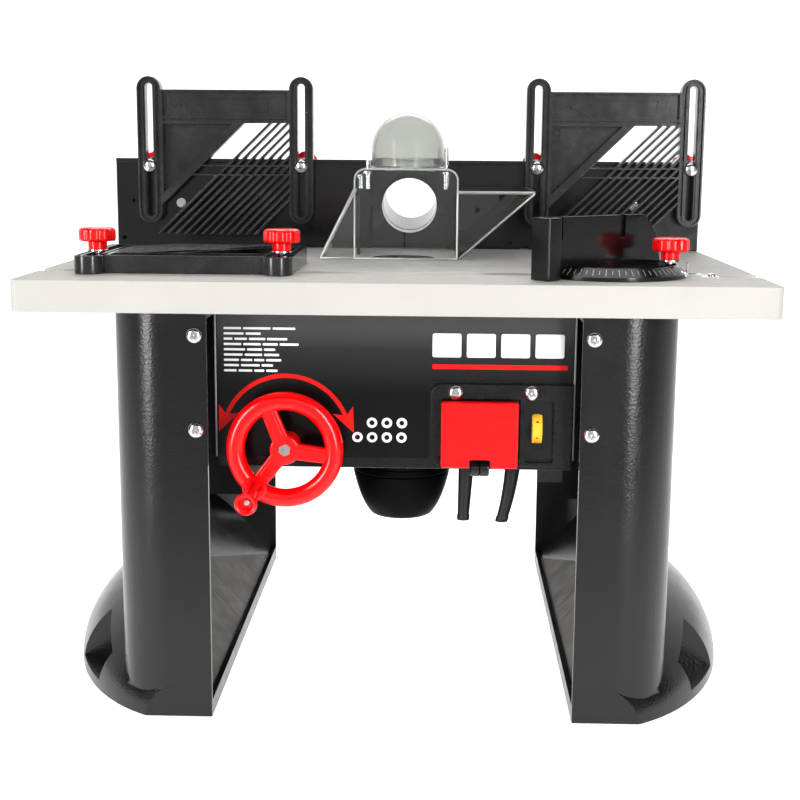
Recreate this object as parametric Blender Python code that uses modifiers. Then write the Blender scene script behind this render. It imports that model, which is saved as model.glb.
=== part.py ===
"""Bench router table, modelled as an assembly of separate pieces.

A table on two moulded legs carries a router motor on a screw lift, a two-part fence with a
dust port and a floating guard, three featherboards and a mitre gauge. Metres, +Z up, front
towards -Y. The origin is on the floor under the middle of the whole object.
"""
import math

import bmesh
import bpy
from mathutils import Matrix, Vector

# ---- driving dimensions -------------------------------------------------------------------
GAP = 0.0003                 # clearance between neighbouring solids
RUN = 0.0003                 # running clearance of a shaft or column in its bore

TABLE_WIDTH = 0.597
TABLE_DEPTH = 0.457
TABLE_HEIGHT = 0.355
TABLE_FRONT = -0.210         # Y of the table's front edge
APRON_HEIGHT = 0.025
APRON_WALL = 0.005
PLATE_THICK = 0.012
CORNER_RADIUS = 0.006

SLOT_DEPTH = 0.092           # T-slot centre line, behind the front edge
SLOT_MOUTH = 0.0200
SLOT_MOUTH_DEEP = 0.0048
SLOT_FOOT = 0.0250
SLOT_FOOT_DEEP = 0.0045

CUTTER_DEPTH = 0.262         # spindle axis, behind the front edge
INSERT_RADIUS = 0.030
INSERT_THICK = 0.0027
INSERT_BORE = 0.019
OPENING_RADIUS = 0.025

LEG_INNER = 0.146            # half the clear width between the legs
LEG_OUTER = 0.226
LEG_FRONT = 0.001
LEG_BACK = 0.456
LEG_WALL = 0.004
LEG_CORNER = 0.048
FLARE_WIDTH = 0.151          # half axes of the flared foot
FLARE_DEPTH = 0.244
FLARE_HEIGHT = 0.097
LEG_SILL = 0.013             # height of the sill along the leg's open side

PANEL_HALF = 0.1435
PANEL_FACE = 0.030
PANEL_BOTTOM = 0.2030
SHEET = 0.0015
PANEL_RETURN = 0.020

WHEEL_X = -0.0855
WHEEL_Z = 0.2226
WHEEL_FACE = 0.005           # depth of the rim's middle plane
WHEEL_RIM = 0.0390
WHEEL_RIM_THICK = 0.0073
HUB_RADIUS = 0.0118
SPOKE_ANGLES = (112.0, 232.0, 352.0)
CRANK_ANGLE = 232.0
CRANK_RADIUS = 0.0385
CRANK_LENGTH = 0.0488
SHAFT_RADIUS = 0.005
SCREW_RADIUS = 0.004
GEAR_NEAR = 0.006
GEAR_FAR = 0.014

MOTOR_RADIUS = 0.0470
MOTOR_TOP = 0.285
MOTOR_SPLIT = 0.150
MOTOR_BOTTOM = 0.1055
COLUMN_RADIUS = 0.005
COLUMN_X = 0.063
COLUMN_BOTTOM = 0.175
MOUNT_TOP = TABLE_HEIGHT - PLATE_THICK - GAP
MOUNT_THICK = 0.006

FENCE_FACE = 0.377
FENCE_THICK = 0.012
FENCE_HEIGHT = 0.090
FENCE_GAP = 0.078
GUARD_X = 0.003
GUARD_HALF = 0.0485
GUARD_FRONT = 0.230
GUARD_HEIGHT = 0.084
GUARD_WALL = 0.003
WING_SHORT = 0.0155           # the right wing stops short of the featherboard
DOME_RADIUS = 0.035
DOME_HEIGHT = 0.0515
DOME_DEPTH = 0.295
PORT_RADIUS = 0.0280
PORT_LENGTH = 0.0692
PORT_TILT = 7.2
PORT_Z = 0.0465              # port centre above the table, at the fence

BOARD_WIDTH = 0.178
BOARD_LENGTH = 0.1465
BOARD_THICK = 0.0145
ARM_WIDTH = 0.024
ARM_SLOT = 0.0075
FINGER_COUNT = 12
FINGER_PITCH = 0.0089
FINGER_THICK = 0.0025
FINGER_ANGLE = 44.3
FINGER_REACH = 0.011         # how far the tips pass the arm ends
FIRST_TIP = -0.0703
BRACE_X = 0.018              # slanted brace's edge at the top of its run
TIE = 0.0020
TIE_LOW = 0.048
TIE_HIGH = 0.057
RIB_LOW = 0.1005
BAR_LOW = 0.1045
BAR_HIGH = 0.1335
LEFT_BOARD_X = -0.1836
RIGHT_BOARD_X = 0.209
FLAT_BOARD_X = -0.1734
FLAT_BOARD_FRONT = 0.050
BOARD_RAISE = 0.025          # arm ends above the table
BOLT_RAISE = 0.083           # clamp bolts above the table

MITRE_X = 0.175
MITRE_RADIUS = 0.063
MITRE_TURN = -49.0           # rest angle of the head from square
MITRE_LEFT = 0.085           # reach of the wall from the pivot to its square end
MITRE_WALL_HEIGHT = 0.049
MITRE_KNOB_REACH = 0.050
BAR_LEFT = 0.112
BAR_RIGHT = 0.265
BAR_WIDTH = 0.0190
BAR_THICK = 0.0080

SWITCH_FACE = 0.024
SWITCH_LEFT = 0.029
SWITCH_RIGHT = 0.1425 - 0.0005
SWITCH_TOP = 0.2733
SWITCH_BOTTOM = 0.2066
COVER_LEFT = 0.0375
COVER_RIGHT = 0.0985
COVER_TOP = 0.2603
COVER_BOTTOM = 0.2075

SEGMENTS = 32

# ---- colours: base colour, roughness, metallic --------------------------------------------
FINISHES = {
    "table_grey": ((0.66, 0.65, 0.62), 0.45, 0.0),
    "black_plastic": ((0.012, 0.012, 0.013), 0.25, 0.0),
    "leg_plastic": ((0.020, 0.020, 0.022), 0.50, 0.0),
    "panel_black": ((0.010, 0.010, 0.010), 0.30, 0.0),
    "red_plastic": ((0.80, 0.010, 0.010), 0.25, 0.0),
    "green_plastic": ((0.02, 0.30, 0.05), 0.35, 0.0),
    "yellow_plastic": ((0.85, 0.50, 0.02), 0.35, 0.0),
    "clear_plastic": ((0.90, 0.93, 0.95), 0.05, 0.0),
    "frosted_plastic": ((0.80, 0.82, 0.80), 0.35, 0.0),
    "zinc": ((0.75, 0.76, 0.78), 0.25, 1.0),
    "steel": ((0.60, 0.61, 0.62), 0.35, 1.0),
    "casting": ((0.45, 0.46, 0.47), 0.50, 1.0),
    "rubber": ((0.015, 0.015, 0.015), 0.70, 0.0),
}


def depth(distance):
    """World Y of a plane the given distance behind the table's front edge."""
    return TABLE_FRONT + distance


# ---- scene and object helpers -------------------------------------------------------------
def start_scene():
    for item in list(bpy.data.objects):
        bpy.data.objects.remove(item, do_unlink=True)
    parts = bpy.data.collections.new("router_table")
    cutters = bpy.data.collections.new("cutters")
    for collection in (parts, cutters):
        bpy.context.scene.collection.children.link(collection)
    return parts, cutters


PARTS, CUTTERS = start_scene()


def finish_material(name):
    """The Principled material of one finish, made on first use."""
    material = bpy.data.materials.get(name)
    if material is None:
        colour, roughness, metallic = FINISHES[name]
        material = bpy.data.materials.new(name)
        material.use_nodes = True
        shader = material.node_tree.nodes["Principled BSDF"]
        shader.inputs["Base Color"].default_value = (*colour, 1.0)
        shader.inputs["Roughness"].default_value = roughness
        shader.inputs["Metallic"].default_value = metallic
    return material


def place(name, mesh, finish, location=(0, 0, 0), turn=None):
    """A named object; without a finish it is a cutter or a helper for a union."""
    item = bpy.data.objects.new(name, mesh)
    item.location = location
    if turn is not None:
        item.rotation_euler = turn.to_euler()
    if finish is None:
        CUTTERS.objects.link(item)
        item.hide_render = True
        item.display_type = "WIRE"
    else:
        PARTS.objects.link(item)
        mesh.materials.append(finish_material(finish))
    return item


def mesh_from(name, bm, smooth=False):
    bmesh.ops.recalc_face_normals(bm, faces=bm.faces)
    mesh = bpy.data.meshes.new(name)
    bm.to_mesh(mesh)
    bm.free()
    if smooth:
        mesh.shade_smooth()
        mesh.set_sharp_from_angle(angle=math.radians(35))
    return mesh


def towards(axis):
    """The rotation that takes +Z to the given axis."""
    return Vector((0, 0, 1)).rotation_difference(Vector(axis)).to_matrix()


def box(name, low, high, finish=None, bevel=0.0):
    """A box between two corners, with optional rounded edges."""
    low, high = Vector(low), Vector(high)
    bm = bmesh.new()
    bmesh.ops.create_cube(bm, size=1.0, matrix=Matrix.Diagonal((*(high - low), 1.0)))
    item = place(name, mesh_from(name, bm), finish, (low + high) / 2)
    if bevel:
        add_bevel(item, bevel)
    return item


def add_bevel(item, width, segments=2):
    modifier = item.modifiers.new("rounded_edges", "BEVEL")
    modifier.width = width
    modifier.segments = segments
    modifier.limit_method = "ANGLE"
    modifier.angle_limit = math.radians(50)


def rod(name, radius, start, end, finish=None, end_radius=None, segments=SEGMENTS):
    """A cylinder or cone between two points."""
    start, end = Vector(start), Vector(end)
    bm = bmesh.new()
    bmesh.ops.create_cone(bm, cap_ends=True, cap_tris=False, segments=segments,
                          radius1=radius, radius2=radius if end_radius is None else end_radius,
                          depth=(end - start).length)
    return place(name, mesh_from(name, bm, smooth=True), finish, (start + end) / 2,
                 towards(end - start))


def turned(name, profile, origin, axis, finish=None, steps=SEGMENTS):
    """A solid of revolution; the profile is (radius, height) pairs down its outer side."""
    bm = bmesh.new()
    points = [bm.verts.new((radius, 0, height)) for radius, height in profile]
    for first, second in zip(points, points[1:]):
        bm.edges.new((first, second))
    if profile[0][0] > 0:
        bm.edges.new((points[-1], points[0]))
    mesh = bpy.data.meshes.new(name)
    bm.to_mesh(mesh)
    bm.free()
    item = place(name, mesh, finish, origin, towards(axis))
    screw = item.modifiers.new("turned", "SCREW")
    screw.steps = steps
    screw.render_steps = steps
    screw.use_merge_vertices = True
    screw.merge_threshold = 0.00005
    screw.use_smooth_shade = True
    return item


def plate(name, loops, thickness, location, turn=None, finish=None):
    """A flat outline with holes, given by loops of 2D points, thickened along its normal."""
    curve = bpy.data.curves.new(name, "CURVE")
    curve.dimensions = "2D"
    curve.fill_mode = "BOTH"
    curve.extrude = thickness / 2
    for loop in loops:
        spline = curve.splines.new("POLY")
        spline.points.add(len(loop) - 1)
        for point, (x, y) in zip(spline.points, loop):
            point.co = (x, y, 0, 1)
        spline.use_cyclic_u = True
    return solid_from_curve(name, curve, finish, location, turn)


def solid_from_curve(name, curve, finish, location=(0, 0, 0), turn=None):
    """Turns a curve into a mesh object with welded caps."""
    holder = bpy.data.objects.new(name + "_curve", curve)
    CUTTERS.objects.link(holder)
    graph = bpy.context.evaluated_depsgraph_get()
    mesh = bpy.data.meshes.new_from_object(holder.evaluated_get(graph))
    bpy.data.objects.remove(holder, do_unlink=True)
    bm = bmesh.new()
    bm.from_mesh(mesh)
    bpy.data.meshes.remove(mesh)
    bmesh.ops.remove_doubles(bm, verts=bm.verts, dist=0.00002)
    return place(name, mesh_from(name, bm), finish, location, turn)


def boolean(item, operation, others):
    for other in others:
        modifier = item.modifiers.new(operation.lower(), "BOOLEAN")
        modifier.operation = operation
        modifier.solver = "EXACT"
        modifier.object = other
    return item


def cut(item, *others):
    return boolean(item, "DIFFERENCE", others)


def join(item, *others):
    return boolean(item, "UNION", others)


def several(name, pieces):
    """One helper mesh of several separate boxes, each a (low, high) pair of corners."""
    bm = bmesh.new()
    for low, high in pieces:
        low, high = Vector(low), Vector(high)
        matrix = Matrix.Translation((low + high) / 2) @ Matrix.Diagonal((*(high - low), 1.0))
        bmesh.ops.create_cube(bm, size=1.0, matrix=matrix)
    return place(name, mesh_from(name, bm), None)


def pivot(name, location, *items):
    """An empty on a joint's axis that carries the moving pieces."""
    empty = bpy.data.objects.new(name, None)
    empty.location = location
    empty.empty_display_size = 0.02
    PARTS.objects.link(empty)
    for item in items:
        item.parent = empty
        item.matrix_parent_inverse = Matrix.Translation(location).inverted()
    return empty


def domed_screw(name, seat, radius, shank):
    """A pan-head screw facing the front."""
    profile = [(0, radius * 0.50), (radius * 0.7, radius * 0.40), (radius, 0.0004), (radius, 0),
               (0.0020, 0), (0.0020, -shank), (0, -shank)]
    return turned(name, profile, seat, (0, -1, 0), "zinc", 16)


# ---- outlines -----------------------------------------------------------------------------
def arc(centre, radius, start, end, steps):
    """Points along an arc, angles in degrees."""
    angles = [math.radians(start + (end - start) * i / steps) for i in range(steps + 1)]
    return [(centre[0] + radius * math.cos(a), centre[1] + radius * math.sin(a)) for a in angles]


def rounded_rectangle(width, height, radius, steps=5):
    x, y = width / 2 - radius, height / 2 - radius
    corners = ((x, y, 0), (-x, y, 90), (-x, -y, 180), (x, -y, 270))
    points = []
    for cx, cy, start in corners:
        points += arc((cx, cy), radius, start, start + 90, steps)
    return points


def slot_outline(centre, length, width, along_y=True, steps=8):
    """A slot with round ends; length is end to end."""
    reach = (length - width) / 2
    points = arc((0, reach), width / 2, 0, 180, steps) + arc((0, -reach), width / 2, 180, 360, steps)
    if not along_y:
        points = [(y, -x) for x, y in points]
    return [(centre[0] + x, centre[1] + y) for x, y in points]


# ---- table, legs and panel ----------------------------------------------------------------
def build_table():
    middle = depth(TABLE_DEPTH / 2)
    outline = rounded_rectangle(TABLE_WIDTH, TABLE_DEPTH, CORNER_RADIUS)
    top = plate("table_top", [outline], APRON_HEIGHT,
                (0, middle, TABLE_HEIGHT - APRON_HEIGHT / 2), finish="table_grey")
    add_bevel(top, 0.0012, 1)
    half = TABLE_WIDTH / 2 - APRON_WALL
    under = box("apron_hollow", (-half, depth(APRON_WALL), TABLE_HEIGHT - APRON_HEIGHT - 0.01),
                (half, depth(TABLE_DEPTH - APRON_WALL), TABLE_HEIGHT - PLATE_THICK))
    mouth = box("slot_mouth", (-0.4, depth(SLOT_DEPTH - SLOT_MOUTH / 2),
                               TABLE_HEIGHT - SLOT_MOUTH_DEEP - 0.002),
                (0.4, depth(SLOT_DEPTH + SLOT_MOUTH / 2), TABLE_HEIGHT + 0.01))
    foot = box("slot_foot", (-0.4, depth(SLOT_DEPTH - SLOT_FOOT / 2),
                             TABLE_HEIGHT - SLOT_MOUTH_DEEP - SLOT_FOOT_DEEP),
               (0.4, depth(SLOT_DEPTH + SLOT_FOOT / 2), TABLE_HEIGHT - SLOT_MOUTH_DEEP))
    axis = (0, depth(CUTTER_DEPTH))
    rebate = rod("insert_rebate", INSERT_RADIUS + GAP, (*axis, TABLE_HEIGHT - INSERT_THICK - GAP),
                 (*axis, TABLE_HEIGHT + 0.01))
    opening = rod("cutter_opening", OPENING_RADIUS, (*axis, TABLE_HEIGHT - 0.03),
                  (*axis, TABLE_HEIGHT + 0.01))
    cut(top, under, mouth, foot, rebate, opening)
    for side in (-1, 1):
        outline = slot_outline((side * FENCE_STUD_X,
                                depth(FENCE_STUD + FENCE_REAR - FENCE_TRAVEL / 2)),
                               FENCE_TRAVEL + 0.008, 0.008)
        cut(top, plate("fence_slot", [outline], 0.04, (0, 0, TABLE_HEIGHT)))
    ring = [(INSERT_RADIUS, 0), (INSERT_RADIUS, -INSERT_THICK), (INSERT_BORE, -INSERT_THICK),
            (INSERT_BORE, 0)]
    insert = turned("insert_ring", ring, (*axis, TABLE_HEIGHT), (0, 0, 1), "black_plastic", 32)
    pivot("insert_lift", (*axis, TABLE_HEIGHT), insert)


def flare(name, side, shrink, floor, finish=None):
    """The half ellipsoid of a flared foot, cut off at the floor and at the leg's ends."""
    bm = bmesh.new()
    bmesh.ops.create_uvsphere(bm, u_segments=28, v_segments=14, radius=1.0)
    size = (FLARE_WIDTH - shrink, FLARE_DEPTH - shrink, FLARE_HEIGHT - shrink)
    bmesh.ops.scale(bm, vec=size, verts=bm.verts)
    centre = (side * LEG_INNER, depth((LEG_FRONT + LEG_BACK) / 2), 0)
    item = place(name, mesh_from(name, bm), finish, centre)
    inner, outer = side * (LEG_INNER - (0.05 if shrink else 0.0)), side * 0.4
    xs = (min(inner, outer), max(inner, outer))
    start, end = depth(LEG_FRONT + shrink), depth(LEG_BACK - shrink)
    keep = box(name + "_keep", (xs[0], start, floor), (xs[1], end, 0.2))
    modifier = item.modifiers.new("keep", "BOOLEAN")
    modifier.operation = "INTERSECT"
    modifier.solver = "EXACT"
    modifier.object = keep
    return item


def leg_outline(side, wall):
    """Plan of the leg: square inside, rounded outside; wall draws it in."""
    width = LEG_OUTER - LEG_INNER
    length = LEG_BACK - LEG_FRONT - 2 * wall
    radius = LEG_CORNER - wall
    x = width - wall - radius
    y = length / 2 - radius
    points = arc((x, -y), radius, -90, 0, 6) + arc((x, y), radius, 0, 90, 6)
    inner = 0.0 if wall == 0 else -0.01
    points += [(inner, length / 2), (inner, -length / 2)]
    return [(side * px, py) for px, py in points]


def build_leg(name, side):
    middle = depth((LEG_FRONT + LEG_BACK) / 2)
    height = TABLE_HEIGHT - APRON_HEIGHT - GAP
    base = (side * LEG_INNER, middle)
    leg = plate(name, [leg_outline(side, 0)], height, (*base, height / 2), finish="leg_plastic")
    join(leg, flare(name + "_flare", side, 0, 0))
    core_height = height - LEG_WALL - LEG_SILL
    core = plate(name + "_core", [leg_outline(side, LEG_WALL)], core_height,
                 (*base, LEG_SILL + core_height / 2))
    foot = flare(name + "_foot_hollow", side, LEG_WALL, -0.02)
    inner_edge = side * (LEG_INNER + LEG_WALL)
    outer_edge = side * (LEG_OUTER - LEG_WALL - 0.02)
    xs = sorted((inner_edge, outer_edge))
    sole = box(name + "_sole", (xs[0], depth(LEG_FRONT + LEG_WALL), -0.01),
               (xs[1], depth(LEG_BACK - LEG_WALL), LEG_SILL - 0.003))
    strip_x = sorted((side * (LEG_INNER - 0.06), inner_edge))
    keep_sill = box(name + "_sill", (strip_x[0], depth(0), -0.03),
                    (strip_x[1], depth(TABLE_DEPTH), LEG_SILL))
    cut(foot, keep_sill)
    cut(leg, core, foot, sole)
    for word, height_at in (("upper", 0.3130), ("lower", 0.2380)):
        x = side * 0.1550
        cut(leg, rod("screw_hole", 0.0023, (x, depth(-0.01), height_at), (x, depth(0.02), height_at),
                     segments=16))
        domed_screw("%s_%s_screw" % (name, word), (x, depth(LEG_FRONT) - GAP, height_at), 0.0062, 0.0080)
    return leg


def build_panel():
    low = (-PANEL_HALF, depth(PANEL_FACE), PANEL_BOTTOM)
    high = (PANEL_HALF, depth(PANEL_FACE + PANEL_RETURN), TABLE_HEIGHT - APRON_HEIGHT - GAP)
    panel = box("front_panel", low, high, "panel_black", bevel=0.0008)
    inner_low = (-PANEL_HALF + SHEET, depth(PANEL_FACE + SHEET), PANEL_BOTTOM + SHEET)
    inner_high = (PANEL_HALF - SHEET, depth(PANEL_FACE + 0.05), TABLE_HEIGHT)
    window = box("switch_window", (COVER_LEFT - 0.003, depth(0.01), COVER_BOTTOM + 0.004),
                 (0.1265, depth(0.05), COVER_TOP - 0.001))
    hole = rod("shaft_hole", 0.0115, (WHEEL_X, depth(0.01), WHEEL_Z),
               (WHEEL_X, depth(0.05), WHEEL_Z))
    cut(panel, box("panel_inside", inner_low, inner_high), window, hole)


# ---- router, lift and handwheel -----------------------------------------------------------
def build_lift():
    axis_y = depth(CUTTER_DEPTH)
    mount = box("mount_plate", (-0.112, axis_y - 0.075, MOUNT_TOP - MOUNT_THICK),
                (0.082, axis_y + 0.075, MOUNT_TOP), "casting", bevel=0.001)
    cut(mount, rod("mount_bore", 0.031, (0, axis_y, 0.3), (0, axis_y, 0.36)))
    hang = MOUNT_TOP - MOUNT_THICK - GAP
    for x in (-COLUMN_X, COLUMN_X):
        join(mount, rod("column", COLUMN_RADIUS, (x, axis_y, COLUMN_BOTTOM), (x, axis_y, hang + 0.002),
                        segments=24))

    screw = rod("lift_screw", SCREW_RADIUS - GAP, (WHEEL_X, axis_y, WHEEL_Z + GEAR_NEAR + 0.0005),
                (WHEEL_X, axis_y, hang), "steel", segments=24)
    join(screw, rod("screw_gear", GEAR_NEAR - 0.0007,
                    (WHEEL_X, axis_y, WHEEL_Z + GEAR_NEAR), (WHEEL_X, axis_y, WHEEL_Z + GEAR_FAR),
                    end_radius=GEAR_FAR - 0.0007, segments=24))
    pivot("lift_screw_axis", (WHEEL_X, axis_y, WHEEL_Z), screw)

    ring_low, ring_high = 0.246, 0.276
    carriage = rod("carriage", MOTOR_RADIUS + 0.008, (0, axis_y, ring_low), (0, axis_y, ring_high),
                   "casting", segments=32)
    span_left = WHEEL_X - 0.012
    span_right = COLUMN_X + 0.012
    arm_outline = slot_outline(((span_left + span_right) / 2, axis_y), span_right - span_left,
                               0.024, along_y=False)
    arms = plate("carriage_arms", [arm_outline], ring_high - ring_low - 0.006,
                 (0, 0, (ring_low + ring_high) / 2))
    join(carriage, arms)
    cut(carriage, rod("motor_bore", MOTOR_RADIUS + GAP, (0, axis_y, 0.2), (0, axis_y, 0.3),
                      segments=32))
    bores = ((-COLUMN_X, COLUMN_RADIUS), (COLUMN_X, COLUMN_RADIUS), (WHEEL_X, SCREW_RADIUS))
    for x, radius in bores:
        cut(carriage, rod("carriage_bore", radius + RUN, (x, axis_y, 0.2), (x, axis_y, 0.3),
                          segments=12))

    housing_profile = [(0, MOTOR_TOP), (0.030, MOTOR_TOP), (0.044, MOTOR_TOP - 0.006),
                       (MOTOR_RADIUS, ring_high + 0.002), (MOTOR_RADIUS, MOTOR_SPLIT + GAP),
                       (0, MOTOR_SPLIT + GAP)]
    housing = turned("motor_housing", housing_profile, (0, axis_y, 0), (0, 0, 1),
                     "black_plastic", 32)
    cap_profile = [(0, MOTOR_SPLIT), (MOTOR_RADIUS - 0.0005, MOTOR_SPLIT), (0.0445, 0.140),
                   (0.0415, 0.130), (0.0380, 0.121), (0.0338, 0.1130), (0.0310, 0.1088),
                   (0.0280, 0.1066), (0.0240, MOTOR_BOTTOM), (0, MOTOR_BOTTOM)]
    cap = turned("motor_cap", cap_profile, (0, axis_y, 0), (0, 0, 1), "black_plastic", 32)
    spindle_profile = [(0, 0.3085), (0.0070, 0.3085), (0.0070, 0.2985), (0.0095, 0.2985),
                       (0.0095, MOTOR_TOP + GAP), (0, MOTOR_TOP + GAP)]
    spindle = turned("spindle", spindle_profile, (0, axis_y, 0), (0, 0, 1), "steel", 24)
    collet = rod("collet_nut", 0.0135, (0, axis_y, 0.2990), (0, axis_y, 0.318), "steel",
                 segments=6)
    add_bevel(collet, 0.001, 1)
    cut(collet, rod("collet_thread", 0.0073, (0, axis_y, 0.29), (0, axis_y, 0.309), segments=24),
        rod("collet_bore", 0.0040, (0, axis_y, 0.30), (0, axis_y, 0.33), segments=24))
    carrier = pivot("lift_carriage", (0, axis_y, MOTOR_TOP), carriage, housing, cap)
    spin = pivot("spindle_axis", (0, axis_y, MOTOR_TOP), spindle, collet)
    spin.parent = carrier
    spin.matrix_parent_inverse = Matrix.Translation(carrier.location).inverted()


def build_handwheel():
    """A three-spoke wheel on the front of the lift's cross shaft."""
    face = depth(WHEEL_FACE)
    centre = (WHEEL_X, face, WHEEL_Z)
    ring = [(WHEEL_RIM + x, y) for x, y in arc((0, 0), WHEEL_RIM_THICK, 180, -135, 7)]
    wheel = turned("handwheel", ring, centre, (0, -1, 0), "red_plastic", 32)
    hub_front, hub_back = depth(WHEEL_FACE - 0.010), depth(PANEL_FACE - 0.0015)
    spoke_parts = [rod("wheel_hub", HUB_RADIUS, (WHEEL_X, hub_back, WHEEL_Z),
                       (WHEEL_X, hub_front, WHEEL_Z), segments=32)]
    for angle in SPOKE_ANGLES:
        length = WHEEL_RIM
        bm = bmesh.new()
        matrix = (Matrix.Rotation(-math.radians(angle), 4, "Y")
                  @ Matrix.Translation((length / 2, 0, 0))
                  @ Matrix.Diagonal((length, 0.006, 0.0125, 1)))
        bmesh.ops.create_cube(bm, size=1.0, matrix=matrix)
        spoke_parts.append(place("wheel_spoke", mesh_from("wheel_spoke", bm), None, centre))
    turn = math.radians(CRANK_ANGLE)
    crank_x = WHEEL_X + CRANK_RADIUS * math.cos(turn)
    crank_z = WHEEL_Z + CRANK_RADIUS * math.sin(turn)
    pad_front = depth(WHEEL_FACE - WHEEL_RIM_THICK - 0.001)
    spoke_parts.append(rod("crank_pad", 0.0098, (crank_x, depth(WHEEL_FACE + 0.004), crank_z),
                           (crank_x, pad_front, crank_z), segments=24))
    join(wheel, *spoke_parts)
    cut(wheel, rod("hub_bore", SHAFT_RADIUS + 0.0001, (WHEEL_X, face - 0.004, WHEEL_Z),
                   (WHEEL_X, face + 0.05, WHEEL_Z), segments=24),
        rod("hub_recess", 0.0062, (WHEEL_X, hub_front - 0.01, WHEEL_Z),
            (WHEEL_X, face - 0.0035, WHEEL_Z), segments=24))

    gear_depth = CUTTER_DEPTH - GEAR_FAR
    shaft = rod("wheel_shaft", SHAFT_RADIUS - GAP, (WHEEL_X, face - 0.0030, WHEEL_Z),
                (WHEEL_X, depth(CUTTER_DEPTH - GEAR_NEAR - 0.001), WHEEL_Z), "steel", segments=24)
    join(shaft, rod("shaft_gear", GEAR_FAR - 0.0007, (WHEEL_X, depth(gear_depth), WHEEL_Z),
                    (WHEEL_X, depth(CUTTER_DEPTH - GEAR_NEAR), WHEEL_Z),
                    end_radius=GEAR_NEAR - 0.0007, segments=24))

    grip = [(0, 0), (0.0066, 0), (0.0072, 0.0030), (0.0062, 0.0120), (0.0066, 0.0300),
            (0.0084, 0.0470), (0.0088, 0.0500), (0.0086, CRANK_LENGTH), (0.0052, CRANK_LENGTH),
            (0.0050, 0.044), (0, 0.044)]
    crank = turned("crank_handle", grip[::-1], (crank_x, pad_front - GAP, crank_z), (0, -1, 0),
                   "red_plastic", 20)
    axle = pivot("handwheel_axis", centre, wheel, shaft)
    spin = pivot("crank_axis", (crank_x, pad_front, crank_z), crank)
    spin.parent = axle
    spin.matrix_parent_inverse = Matrix.Translation(axle.location).inverted()


# ---- switch and speed control -------------------------------------------------------------
DIAL_RADIUS = 0.013
DIAL_X = 0.114
DIAL_Z = 0.2375
DIAL_WIDTH = 0.0078
BOX_FACE = 0.0335
BUTTON_TRAVEL = 0.0025


def build_switch():
    frame = box("switch_frame", (SWITCH_LEFT, depth(SWITCH_FACE), SWITCH_BOTTOM),
                (SWITCH_RIGHT, depth(PANEL_FACE) - GAP, SWITCH_TOP), "black_plastic", bevel=0.001)
    bay = box("cover_bay", (COVER_LEFT - 0.002, depth(0), 0.15),
              (COVER_RIGHT + 0.002, depth(0.05), COVER_TOP + 0.0015))
    dial_bay = box("dial_bay", (0.1035, depth(0), SWITCH_BOTTOM + 0.003),
                   (0.127, depth(SWITCH_FACE + 0.004), COVER_TOP + 0.0005))
    dial_slot = box("dial_slot", (DIAL_X - 0.005, depth(0), DIAL_Z - 0.0145),
                    (DIAL_X + 0.005, depth(0.05), DIAL_Z + 0.0145))
    cut(frame, bay, dial_bay, dial_slot)
    for name, x, z in (("switch_screw_left", 0.0491, 0.2663), ("switch_screw_right", 0.1095, 0.2667)):
        cut(frame, rod("screw_hole", 0.0023, (x, depth(0.01), z), (x, depth(SWITCH_FACE + 0.0045), z),
                       segments=16))
        domed_screw(name, (x, depth(SWITCH_FACE) - GAP, z), 0.0060, 0.0040)

    cover = box("switch_cover", (COVER_LEFT, depth(0.013), COVER_BOTTOM),
                (COVER_RIGHT, depth(0.0225), COVER_TOP), "red_plastic", bevel=0.001)
    wall = 0.002
    cut(cover, box("cover_inside", (COVER_LEFT + wall, depth(0.013 + wall), COVER_BOTTOM + wall),
                   (COVER_RIGHT - wall, depth(0.05), COVER_TOP - wall)),
        box("cover_notch", (0.0600, depth(0), 0.2), (0.0770, depth(0.05), 0.2143)))
    pivot("cover_hinge", (0.068, depth(0.0225), COVER_TOP), cover)

    latch = rod("cover_latch", 0.0062, (0.0610, depth(0.0185), 0.2062),
                (0.0760, depth(0.0185), 0.2062), "black_plastic", segments=20)
    pivot("latch_axis", (0.0685, depth(0.0185), 0.2062), latch)

    for name, left, finish in (("stop_button", 0.0420, "red_plastic"),
                               ("start_button", 0.0700, "green_plastic")):
        button = box(name, (left, depth(0.0235), 0.222), (left + 0.024, depth(0.0300), 0.250),
                     finish, bevel=0.001)
        pivot(name + "_travel", (left + 0.012, depth(0.0300), 0.236), button)

    dial = rod("speed_dial", DIAL_RADIUS, (DIAL_X - DIAL_WIDTH / 2, depth(0.033), DIAL_Z),
               (DIAL_X + DIAL_WIDTH / 2, depth(0.033), DIAL_Z), "yellow_plastic", segments=24)
    pivot("dial_axis", (DIAL_X, depth(0.033), DIAL_Z), dial)

    control = box("control_box", (0.032, depth(BOX_FACE), 0.2072),
                  (0.131, depth(0.074), 0.268), "black_plastic", bevel=0.0012)
    cut(control, box("control_inside", (0.034, depth(BOX_FACE + 0.002), 0.2092),
                     (0.129, depth(0.09), 0.266)),
        box("control_slot", (DIAL_X - 0.005, depth(0.01), DIAL_Z - 0.0145),
            (DIAL_X + 0.005, depth(0.06), DIAL_Z + 0.0145)))


def cord_boot(name, points, top_radius, end_radius):
    """A tapered strain relief along a bent centre line."""
    curve = bpy.data.curves.new(name, "CURVE")
    curve.dimensions = "3D"
    curve.bevel_depth = 1.0
    curve.bevel_resolution = 3
    curve.use_fill_caps = True
    spline = curve.splines.new("POLY")
    spline.points.add(len(points) - 1)
    for index, (point, place_at) in enumerate(zip(spline.points, points)):
        point.co = (*place_at, 1)
        share = index / (len(points) - 1)
        point.radius = top_radius + (end_radius - top_radius) * share
    return solid_from_curve(name, curve, "rubber")


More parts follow.
